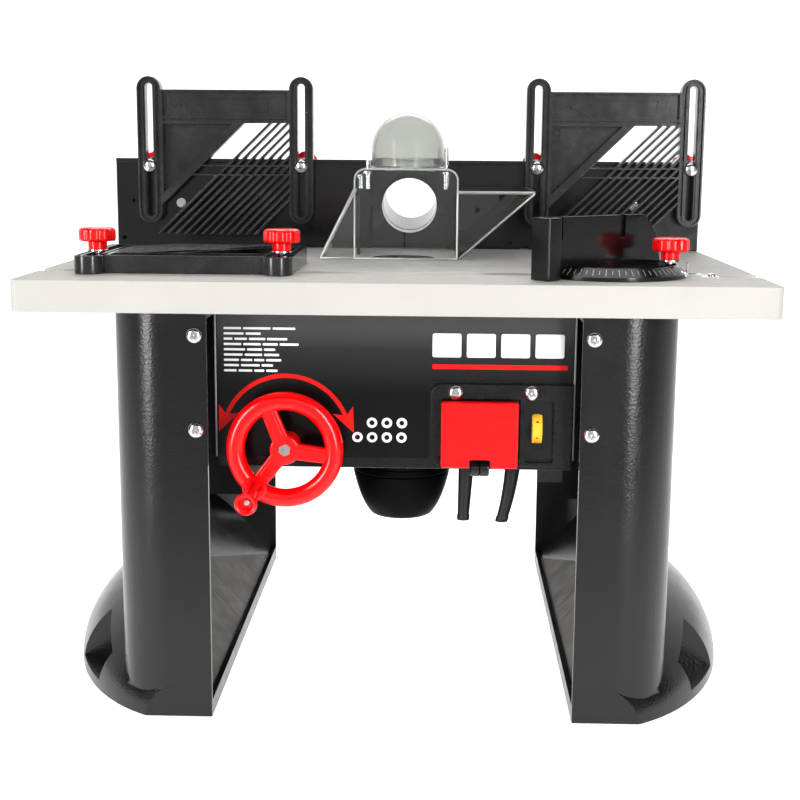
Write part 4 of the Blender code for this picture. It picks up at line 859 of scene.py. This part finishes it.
def build_boots():
    """Tapered sleeves below the switch, swept along the CAD pieces' own bends."""
    for node, x, bend in (("cord_boot_left", 59.0, (-2.2, 0.0)),
                          ("cord_boot_right", 97.5, (-3.0, -6.0))):
        low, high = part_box(node)
        top, length = high.z / MM, (high.z - low.z) / MM - 0.6
        y = (low.y + high.y) / 2
        steps, around = 60, 32
        bm = bmesh.new()
        rings = []
        for k in range(steps + 1):
            share = k / steps
            radius = 6.5 - 1.9 * share
            if share > 0.93:
                radius += 0.5
            cx = x + bend[0] * share + bend[1] * share * share
            rings.append([bm.verts.new(((cx + radius * math.cos(a)) * MM,
                                        y + radius * math.sin(a) * MM,
                                        (top - 0.3 - length * share) * MM))
                          for a in (2 * math.pi * j / around for j in range(around))])
        bridge(bm, rings)
        bm.faces.new(rings[0])
        bm.faces.new(rings[-1])
        show(node + "_sleeve", from_bmesh(node, bm, 45), RUBBER, "base", node)


# ---- motor --------------------------------------------------------------------------------
def build_motor():
    low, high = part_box("motor_housing")
    axis = (low + high) / 2
    top, bottom = high.z / MM, low.z / MM
    place = Matrix.Translation((axis.x, axis.y, 0))
    can = lathe("motor_can", [(0, top), (29, top), (33, top - 0.6), (43, top - 5), (44.6, top - 6.6),
                              (47.0, 279), (47.0, 226), (46.2, 225), (46.2, 222), (47.0, 221),
                              (47.0, 162), (46.0, 161), (46.0, 157), (47.0, 156), (47.0, bottom + 1),
                              (46.2, bottom), (0, bottom)], 96)
    show("motor_can", can, MOTOR, "lift", "motor_housing", matrix=place)
    low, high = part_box("motor_cap")
    top, bottom = high.z / MM, low.z / MM
    bowl = lathe("motor_bowl", [(0, top), (45.8, top), (46.5, top - 0.8), (46.3, top - 3), (44.5, 140),
                                (43.1, 135), (41.5, 130), (39.9, 125.4), (38, 121), (36.1, 117),
                                (33.8, 113), (31.0, 109), (29.6, 107.4), (27.4, 106.2),
                                (24.0, bottom), (0, bottom)], 96)
    vents = []
    for k in range(12):
        turn = Matrix.Rotation(math.radians(30 * k + 15), 4, "Z")
        vents.append(slab("vent", [stadium(14.5, 0, 4, 1.8)], bottom - 2, bottom + 3, turn))
    bowl = carve(bowl, cuts=[merged("vents", vents)])
    show("motor_bowl", bowl, MOTOR, "lift", "motor_cap", matrix=place)
    for node, material in (("carriage", CAST), ("mount_plate", CAST), ("lift_screw", STEEL),
                           ("wheel_shaft", STEEL), ("spindle", STEEL), ("collet_nut", STEEL)):
        finish_node(node, material)


# ---- fence --------------------------------------------------------------------------------
FENCE_FACE = 377.0


def build_fence():
    finish_node("fence_base", BLACK)
    for side in ("left", "right"):
        low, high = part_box("fence_face_" + side)
        x0, x1 = low.x / MM, high.x / MM
        z0, z1 = low.z / MM, high.z / MM
        thick = (high.y - low.y) / MM
        front = standing(FENCE_FACE)
        face = slab("fence_face", [oblong(x0, z0, x1, z1)], -thick, -0.4, front, edge=0.8)
        lip = slab("lip", [oblong(x0, z1 - 4.0, x1, z1)], -thick, 0.0, front, edge=0.7)
        cuts = []
        for node in BOLTS:
            b0, b1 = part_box(node)
            x, z = (b0.x + b1.x) / 2 / MM, (b0.z + b1.z) / 2 / MM
            if x0 < x < x1:
                cuts.append(slab("hole", [circle(x, z, 3.6, 28)], -30, 5, front))
        if side == "left":
            cuts += [slab("hole", [circle(x, z, r, 24)], -30, 5, front)
                     for x, z, r in ((-281.0, 402.0, 1.7), (-291.5, 364.0, 2.4))]
        else:
            cuts += [slab("hole", [circle(106.8, 363.0, 2.6, 24)], -30, 5, front),
                     slab("notch", [oblong(117.0, 350, 125.5, 359.2)], -30, 5, front)]
        mesh = carve(face, adds=[lip], cuts=cuts)
        show("fence_face_%s_board" % side, mesh, BLACK, "fence", "fence_face_" + side)
    low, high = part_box("dust_port")
    tilt = math.radians(7.2)
    along = Vector((0, math.cos(tilt), math.sin(tilt)))
    start = Vector((0.003, D(405.0), T(46.5))) - along * 6 * MM
    r = 28.0
    pipe = lathe("port_pipe", [(r + 2.2, 69.2), (r + 2.8, 68.6), (r + 2.8, 62.0), (r + 2.2, 61.0),
                               (r + 2.4, 30), (r + 3.6, 8), (r + 3.6, 0), (r, 0), (r - 0.2, 10),
                               (r - 0.8, 68.4), (r - 0.2, 69.2)], 96)
    pipe.transform(Matrix.Translation(start) @ towards(along))
    trim = block("port_trim", (-0.06, D(360), T(-20)), (0.066, D(405.3), T(120)))
    show("dust_pipe", carve(pipe, cuts=[trim]), BLACK, "fence", "dust_port")
    # lining of the hood: the port's mouth seen between the fence faces
    mouth = lathe("port_mouth", [(r + 3.2, 19.5), (r + 3.2, -0.5), (r + 0.1, -0.5), (r + 0.1, 19.5)], 96)
    at = Vector((0.003, D(381.0), T(44.0)))
    mouth.transform(Matrix.Translation(at) @ towards(along))
    backing = slab("backing", [rounded(-35.5, T(4.6) / MM, 41.5, T(79.5) / MM, 2),
                               circle(3.0, T(43.9) / MM, r + 0.6, 96)], -6.5, -3.5, standing(FENCE_FACE))
    ledge = block("ledge", (-0.0355, D(378.5), T(4.5)), (0.0415, D(384.0), T(9.5)), 0.5)
    show("hood_lining", merged("hood_lining", [mouth, backing, ledge]), BOARD, "fence")


# ---- guard --------------------------------------------------------------------------------
def build_guard():
    low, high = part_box("guard_hood")
    z0 = low.z / MM
    top = high.z / MM
    x0, x1 = 3.0 - 48.5, 3.0 + 48.5
    front, back = 230.0, (high.y - TABLE_LOW.y) / MM
    place = standing(front)                 # thickness runs to the front, so depths are negative
    depth = back - front

    def arch(inset, foot):
        """Front view of the hood: square feet and rounded top corners."""
        radius = 11.0 - inset
        return ([(x0 + inset, foot), (x1 - inset, foot)]
                + arc(x1 - inset - radius, top - inset - radius, radius, 0, 90, 10)
                + arc(x0 + inset + radius, top - inset - radius, radius, 90, 180, 10))

    hood = slab("guard", [arch(0, z0)], -depth, 0, place)
    ramp = [(x1 - 3.2, z0), (x1 + 2.2, z0), (122.0, z0 + 60.0), (122.4, z0 + 63.4),
            (x1 - 3.2, z0 + 63.4)]
    wing = slab("wing", [ramp], -(depth - 15.5), -5.0, place)
    skirt = [(x0 + 3.2, z0), (-77.2, z0), (-77.5, z0 + 1.6), (x0, z0 + 65.5), (x0 + 3.2, z0 + 65.5)]
    flank = slab("flank", [skirt], -60, 0, place)
    hollow = slab("hollow", [arch(3.0, z0 - 10)], -depth - 5, -3.0, place)
    wing_inside = slab("wing_inside", [[(x1 - 4, z0 - 10), (x1 - 2, z0 - 10), (x1 - 1.4, z0 + 1.0),
                                        (117.0, z0 + 60.4), (x1 - 4, z0 + 60.4)]],
                       -(depth - 18.5), 3.0, place)
    flank_inside = slab("flank_inside", [[(x0 + 4, z0 - 10), (-73.6, z0 - 10), (-73.4, z0 + 0.6),
                                          (x0 + 0.4, z0 + 57.5), (x0 + 4, z0 + 57.5)]],
                        -58, -3.0, place)
    mouth = slab("mouth", [circle(3.0, (295.0 - front), 31.0, 72)], top - 6, top + 4,
                 Matrix.Translation((0, D(front), 0)))
    slit = slab("slit", [oblong(1.2, z0 - 1, 2.6, z0 + 26)], -3.4, 1, place)
    bores = [slab("bore", [circle((b[0].x + b[1].x) / 2 / MM, ((b[0].y + b[1].y) / 2 - D(0)) / MM, 3.4,
                                  20)], top - 25, top + 4, Matrix.Translation((0, D(0), 0)))
             for b in (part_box("guard_post_left"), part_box("guard_post_right"))]
    spy = slab("spy_hole", [circle(72.0, z0 + 40.7, 2.6, 24)], -depth, -(depth - 30), place)
    mesh = carve(hood, adds=[wing, flank],
                 cuts=[hollow, wing_inside, flank_inside, mouth, slit, spy, *bores])
    show("guard_shell", mesh, CLEAR, "guard", "guard_hood")
    # Thin pale tubes traced along the hood's arch, wing and flank edges: painted highlights of the clear
    # moulding's bright edges.
    near = D(front + 1.0) / MM
    deep = D(back - 17.0) / MM
    outline = [(x, near, z) for x, z in arch(1.0, z0 + 0.8)]
    paths = [outline[1:] + [outline[0], outline[1]],
             [(x1 + 1.4, near + 5, z0 + 1.0), (121.4, near + 5, z0 + 61.0), (120.6, near + 5, z0 + 62.4),
              (x1, near + 5, z0 + 62.4)],
             [(121.4, near + 5, z0 + 61.0), (121.4, deep, z0 + 61.0), (x1 + 1.4, deep, z0 + 1.0)],
             [(120.6, deep, z0 + 62.4), (x1, deep, z0 + 62.4)],
             [(x0 + 0.5, near, z0 + 63.5), (-76.2, near, z0 + 1.0), (x0, near, z0 + 1.0)],
             [(x0 + 0.5, near + 58, z0 + 63.5), (-76.2, near + 58, z0 + 1.0), (-76.2, near, z0 + 1.0)]]
    glints = [tube("rim", path, 0.85) for path in paths]
    show("guard_edge_glints", merged("guard_edge_glints", glints, 50), EDGE_GLINT, "guard")

    low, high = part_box("guard_dome")
    base = (low.z) / MM
    rise = (high.z - low.z) / MM
    straight = rise - 35.0
    outer = [(r, straight + h) for r, h in arc(0, 0, 35.0, 90, 0, 20)]
    inner = [(r, straight + h) for r, h in arc(0, 0, 32.8, 0, 90, 20)]
    outer[0], inner[-1] = (0, rise), (0, rise - 2.2)
    profile = (outer + [(35.0, 1.2), (35.6, 0.6), (35.6, 0), (32.4, 0), (32.8, 0.6)] + inner)
    dome = lathe("dome", profile, 96, angle=50)
    seat = Matrix.Translation(((low.x + high.x) / 2, (low.y + high.y) / 2, base * MM))
    show("dome_shell", dome, FROST, "guard", "guard_dome", matrix=seat)
    collar = lathe("collar", [(30.6, 8.0), (30.9, 7.4), (30.9, 0.2), (28.8, 0.2), (28.8, 7.4),
                              (29.1, 8.0)], 96)
    show("dome_collar", collar, CLEAR, "guard", matrix=seat)

    for node in ("guard_post_left", "guard_post_right"):
        low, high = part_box(node)
        length = (high.z - low.z) / MM
        profile = [(0, length), (1.8, length), (2.4, length - 0.5)]
        height = length - 0.5
        while height > length - 17 and node.endswith("right"):
            profile += [(3.0, height - 0.55), (2.4, height - 1.1)]
            height -= 1.1
        profile += [(2.6, height - 0.6), (2.6, 18), (5.0, 17.6), (5.2, 14.8), (3.0, 14.4), (3.0, 0.4),
                    (2.6, 0), (0, 0)]
        post = lathe(node + "_stud", profile, 32)
        seat = Matrix.Translation(((low.x + high.x) / 2, (low.y + high.y) / 2, low.z))
        show(node + "_stud", post, ZINC, "guard", node, matrix=seat)


# ---- featherboards ------------------------------------------------------------------------
ARM, ARM_WIDTH, BOARD_LENGTH, BOARD_THICK = 77.0, 24.0, 146.5, 14.5
INNER = ARM - ARM_WIDTH / 2
SLOPE = 1 / math.tan(math.radians(44.3))
ACROSS = 2.5 / math.sin(math.radians(44.3))
TIPS = [-70.3 + 8.9 * k for k in range(12)]
REACH = 11.0
RIB_LOW, BAR_LOW, BAR_HIGH = 100.5, 104.5, 133.5
TIES = (48.0, 57.0)
TIE = 2.0


def left_edge(k, v):
    return TIPS[k] + SLOPE * (v + REACH)


def right_edge(k, v):
    return left_edge(k, v) + ACROSS


def brace(v, left=False):
    return 18.0 + SLOPE * (v - 99.0) - (5.7 if left else 0)


def where(edge, k, u):
    """Height at which a finger's edge reaches the given u."""
    return (u - edge(k, 0)) / SLOPE


def bowed(points):
    return [(u, v + 0.5 * (u / 65) ** 2) for u, v in points]


def clipped(quad):
    """The part of a convex outline left of the right arm."""
    kept = []
    for k, first in enumerate(quad):
        second = quad[(k + 1) % len(quad)]
        if first[0] <= INNER:
            kept.append(first)
        if (first[0] <= INNER) != (second[0] <= INNER):
            share = (INNER - first[0]) / (second[0] - first[0])
            kept.append((INNER, first[1] + share * (second[1] - first[1])))
    return kept


def board_outline():
    low = TIES[0]
    comb = [(-INNER, 99.0 - (18.0 + INNER) / SLOPE), (brace(low), low), (left_edge(0, low), low)]
    last = len(TIPS) - 1
    for k in range(last + 1):
        comb += [(left_edge(k, -REACH), -REACH), (right_edge(k, -REACH), -REACH)]
        if k == last:
            comb.append((INNER, where(right_edge, k, INNER)))
            continue
        a, b = right_edge(k, low), left_edge(k + 1, low)
        if a > INNER - 1:
            comb.append((INNER, where(right_edge, k, INNER)))
        else:
            comb.append((a, low))
            if b > INNER:
                comb.append((INNER, low))
        comb.append((INNER, where(left_edge, k + 1, INNER)) if b > INNER else (b, low))
    radius = ARM_WIDTH / 2
    points = arc(-ARM, radius, radius, 180, 360, 18) + bowed(comb)
    points += arc(ARM, radius, radius, 180, 360, 18)
    points += arc(ARM, BOARD_LENGTH - radius, radius, 0, 180, 18)
    points += [(INNER, BAR_HIGH), (-INNER, BAR_HIGH)]
    return points + arc(-ARM, BOARD_LENGTH - radius, radius, 0, 180, 18)


def board_windows():
    loops = [stadium(side * ARM, BOARD_LENGTH / 2, BOARD_LENGTH - 13.4, 7.5, 12) for side in (-1, 1)]
    for low, high in ((TIES[0] + TIE, TIES[1]), (TIES[1] + TIE, RIB_LOW)):
        loops.append(bowed([(brace(low), low), (left_edge(0, low), low), (left_edge(0, high), high),
                            (brace(high), high)]))
        for k in range(len(TIPS) - 1):
            quad = [(right_edge(k, low), low), (left_edge(k + 1, low), low),
                    (left_edge(k + 1, high), high), (right_edge(k, high), high)]
            if quad[0][0] < INNER - 4:
                loops.append(bowed(clipped(quad)))
    return loops


def board_mesh():
    """Featherboard lying on its back, front face up, arms along +Y."""
    half = BOARD_THICK / 2
    body = slab("featherboard", [board_outline(), *board_windows()], -half, half, edge=0.45)
    inset = INNER - 1.8
    top = RIB_LOW - 0.8
    foot = 31.0
    web = slab("web", [[(-inset, top), (-inset, foot), (-inset + (top - foot) * SLOPE, top)]],
               half - 9.0, half + 3)
    bar = slab("bar", [rounded(-inset, BAR_LOW + 2.2, inset, BAR_HIGH - 2.2, 0.8)], half - 5.0, half + 3)
    groove = slab("groove", [oblong(-inset, RIB_LOW + 1.6, inset, BAR_LOW + 0.6)], half - 4.0, half + 3)
    rings = []
    for side in (-1, 1):
        centre = BOARD_LENGTH / 2
        rings.append(slab("channel", [stadium(side * ARM, centre, BOARD_LENGTH - 3.2, 20.6, 16),
                                      stadium(side * ARM, centre, BOARD_LENGTH - 8.4, 14.6, 16)],
                          half - 3.2, half + 3))
        rings.append(slab("slot_step", [stadium(side * ARM, centre, BOARD_LENGTH - 11.6, 10.4, 16)],
                          half - 1.6, half + 3))
    body = carve(body, cuts=[web, bar, groove, *rings])
    details = []
    for u, v in ((-57.5, 93.5), (5.5, 95.0), (-58.0, 38.0)):
        details.append(lathe("ejector", [(3.2, 0.55), (3.5, 0.3), (3.5, -1), (2.6, -1), (2.6, 0.55)], 32,
                             Matrix.Translation((u * MM, v * MM, (half - 9.0) * MM))))
    arrow = [(-46, 119), (-27, 128.5), (-27, 126.6), (43, 126.6), (43, 111.4), (-27, 111.4),
             (-27, 109.5)]
    inner = [(-42.5, 119), (-28.5, 126), (-28.5, 125.2), (41.5, 125.2), (41.5, 112.8), (-28.5, 112.8),
             (-28.5, 112)]
    details.append(slab("arrow_rim", [arrow, inner], half - 6.0, half - 3.9))
    for u0, u1, v0 in ((50, 58, 121.5), (-60, -54, 121.5)):
        details.append(slab("tab", [[(u0, v0 - 4), (u1, v0), (u1 - 1, v0 + 4), (u0 + 1, v0 + 3)]],
                            half - 6.0, half - 4.0))
    return merged("featherboard", [body, *details], 34)


def build_boards():
    mesh = board_mesh()
    half = BOARD_THICK / 2
    for node in ("left_featherboard", "right_featherboard"):
        low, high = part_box(node)
        middle = (low + high) / 2
        seat = Matrix.Translation((middle.x, middle.y, low.z + REACH * MM)) @ FACING
        show(node + "_moulding", mesh.copy(), BOARD, node, node, matrix=seat)
    low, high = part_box("flat_featherboard")
    seat = (Matrix.Translation(((low.x + high.x) / 2, high.y - REACH * MM, low.z + half * MM))
            @ Matrix.Rotation(math.pi, 4, "Z"))
    show("flat_featherboard_moulding", mesh.copy(), BOARD, "flat_featherboard",
         "flat_featherboard", matrix=seat)
    finish_node("slot_nut_left", ZINC)
    finish_node("slot_nut_right", ZINC)


# ---- mitre gauge --------------------------------------------------------------------------
def build_mitre():
    finish_node("mitre_bar", ZINC)
    finish_node("mitre_pointer", ZINC)
    low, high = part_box("mitre_head")
    height = (high.z - low.z) / MM
    place = Matrix.Translation((0.175, D(92.0), low.z)) @ Matrix.Rotation(math.radians(-49), 4, "Z")
    radius, thick, left = 63.0, 9.6, 85.0
    rim = slab("mitre_base", [arc(0, 0, radius, -90, 90, 72)], 0, thick)
    slope = lathe("slope", [(90, 20), (90, 2.6), (radius + 0.2, 2.6), (radius - 8.5, thick + 0.05),
                            (radius - 8.5, 20)], 160)
    channel = lathe("channel", [(54, 20), (54, thick - 1.2), (46, thick - 1.2), (46, 20)], 160)
    ticks = []
    lean = Matrix.Rotation(math.radians(39.2), 4, "Y")
    for k in range(37):
        turn = Matrix.Rotation(math.radians(-90 + 5 * k), 4, "Z")
        reach = 3.6 if k % 2 == 0 else 2.2
        seat = Matrix.Translation(((radius - 4.1) * MM, 0, 6.2 * MM))
        ticks.append(block("tick", (-reach * MM, -0.25 * MM, -0.25 * MM),
                           (reach * MM, 0.25 * MM, 0.25 * MM), 0, turn @ seat @ lean))
    base = carve(rim, cuts=[slope, channel])
    outline = ([(-left, 0), (radius - 1, 0), (radius - 3, 10.5), (56, 31), (45, 44)]
               + arc(36, height - 8, 8, 10, 90, 6) + [(-left, height)])
    wall = slab("mitre_wall", [outline], -6.0, 3.0, SIDEWAYS, edge=0.8)
    end = block("mitre_end", (-6 * MM, -left * MM, 0), (14 * MM, (-left + 14) * MM, height * MM), 1.2)
    slots = [slab("notch", [stadium(t, height - 3, 34, 6.4)], -30, 30, SIDEWAYS)
             for t in (-62.0, 12.0)]
    track = slab("track", [arc(0, 0, 53.6, -62, 62, 40) + arc(0, 0, 46.4, 62, -62, 40)], -5, 60)
    pin = lathe("pin_hole", [(0, 6.8), (3.3, 6.8), (3.3, -3), (0, -3)], 24)
    head = carve(base, adds=[wall, end], cuts=[*slots, track, pin])
    show("mitre_head_moulding", head, BLACK, "mitre_head", "mitre_head",
         matrix=place)
    show("mitre_graduations", merged("mitre_graduations", ticks), HIGHLIGHT_AND_TICK_GREY, "mitre_head",
         slot="black_plastic", matrix=place)
    screw = cross_screw(3.4, 2.2, 0.0)
    seat = Matrix.Translation((0.260, D(94.0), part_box("mitre_bar")[0].z + 0.0080))
    show("bar_screw", screw, ZINC, "mitre_gauge", matrix=seat)


# ---- table and room -----------------------------------------------------------------------
def build_table():
    finish_node("table_top", TABLE)
    low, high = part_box("insert_ring")
    seat = Matrix.Translation(((low.x + high.x) / 2, (low.y + high.y) / 2, high.z))
    ring = lathe("insert", [(29.4, 0), (29.9, -0.4), (30.0, -2.7), (19.0, -2.7), (19.0, -0.5),
                            (19.6, 0), (22.5, 0), (22.8, -0.5), (26.0, -0.5), (26.3, 0)], 96)
    show("insert_ring_plate", ring, BLACK, "base", "insert_ring", matrix=seat)


def paper_material():
    """White paper on a light table: it glows round the object, less in front and at the sides."""
    material = moulded("floor_paper", (0.90, 0.90, 0.90), 0.95, grain=0.03, grain_scale=200,
                       mottle=0.01, specular=0.05)
    tree = material.node_tree
    shader = tree.nodes["Principled BSDF"]
    front = map_node(tree, coordinate(tree, "Y"), 0.22, 0.80, -0.75, -0.30)
    reach = tree.nodes.new("ShaderNodeMath")
    reach.operation = "ABSOLUTE"
    tree.links.new(coordinate(tree, "X"), reach.inputs[0])
    sides = map_node(tree, reach.outputs[0], 1.0, 0.50, 1.1, 1.8)
    both = tree.nodes.new("ShaderNodeMath")
    both.operation = "MULTIPLY"
    tree.links.new(front, both.inputs[0])
    tree.links.new(sides, both.inputs[1])
    glow = ramp_node(tree, both.outputs[0], [(0.0, (0, 0, 0)), (1.0, (1, 1, 1))])
    tree.links.new(glow.outputs["Color"], shader.inputs["Emission Color"])
    shader.inputs["Emission Strength"].default_value = 1.0
    return material


FLOOR_HALF, FLOOR_DROP = 14.0, 0.0006   # half its width, and its depth under the feet
WORLD_LIGHT = 0.05
LAMPS = (                               # name, place, aim, size, watts, spread in degrees
    ("key_left", (-1.22, -1.12, 0.60), (-0.2, -0.2, 0.25), (0.30, 1.3), 5.0, 75),
    ("key_right", (0.84, -1.42, 0.60), (0.2, -0.2, 0.25), (0.28, 1.3), 5.0, 75),
    ("front", (0.1, -2.4, 1.6), (0, 0, 0.3), (1.2, 0.4), 0.5, 160),
    ("overhead", (0.0, 0.10, 1.7), (0, 0.1, 0.3), (1.5, 0.7), 5.5, 160),
    ("behind", (0.0, 1.4, 1.5), (0, 0, 0.4), (1.6, 0.4), 7, 160))
CAMERA_PLACE = (0.03466, -1.28472, 0.45842)
TILT, YAW, ROLL = (math.radians(a) for a in (10.23, 1.57, 0.43))
SENSOR, LENS = 36, 63.16


def build_floor():
    """Pale floor that curves up into a backdrop behind and rises again far in front."""
    bm = bmesh.new()
    curve = [(1.6 + 0.8 * math.sin(a), 0.8 - 0.8 * math.cos(a))
             for a in (math.radians(90 * k / 16) for k in range(1, 17))]
    profile = [(-5.4, 5.0), (-5.4, 0.6), (-5.2, 0.2), (-4.8, 0.0), (1.6, 0.0), *curve, (2.4, 5.0)]
    rows = [[bm.verts.new((x, y, z - FLOOR_DROP)) for x in (-FLOOR_HALF, FLOOR_HALF)]
            for y, z in profile]
    for first, second in zip(rows, rows[1:]):
        bm.faces.new((first[0], first[1], second[1], second[0]))
    sweep = new_object("studio_floor", from_bmesh("studio_floor", bm, 60))
    sweep.data.materials.append(paper_material())


def build_lights():
    world = bpy.data.worlds.new("studio")
    bpy.context.scene.world = world
    world.use_nodes = True
    background = world.node_tree.nodes["Background"]
    background.inputs["Color"].default_value = (1, 1, 1, 1)
    background.inputs["Strength"].default_value = WORLD_LIGHT
    for name, place, aim, size, power, spread in LAMPS:
        light = bpy.data.lights.new(name, "AREA")
        light.shape = "RECTANGLE"
        light.size, light.size_y = size
        light.energy = power
        light.spread = math.radians(spread)
        lamp = new_object(name, light)
        lamp.location = place
        lamp.rotation_euler = (Vector(aim) - Vector(place)).to_track_quat("-Z", "Y").to_euler()


def build_camera():
    forward = Vector((-math.sin(YAW) * math.cos(TILT), math.cos(YAW) * math.cos(TILT),
                      -math.sin(TILT)))
    level = Vector((math.cos(YAW), math.sin(YAW), 0))
    upward = level.cross(forward)
    right = math.cos(ROLL) * level + math.sin(ROLL) * upward
    above = -math.sin(ROLL) * level + math.cos(ROLL) * upward
    lens = bpy.data.cameras.new("camera")
    lens.sensor_width = SENSOR
    lens.lens = LENS
    camera = new_object("camera", lens)
    turn = Matrix((right, above, -forward)).transposed().to_4x4()
    camera.matrix_world = Matrix.Translation(CAMERA_PLACE) @ turn
    bpy.context.scene.camera = camera
    bpy.context.scene.view_settings.view_transform = "Standard"


build_floor()
build_lights()
build_camera()
build_table()
build_legs()
build_panel()
build_handwheel()
build_switch()
build_boots()
build_motor()
build_fence()
build_guard()
build_boards()
build_mitre()
build_knobs()
build_screws()
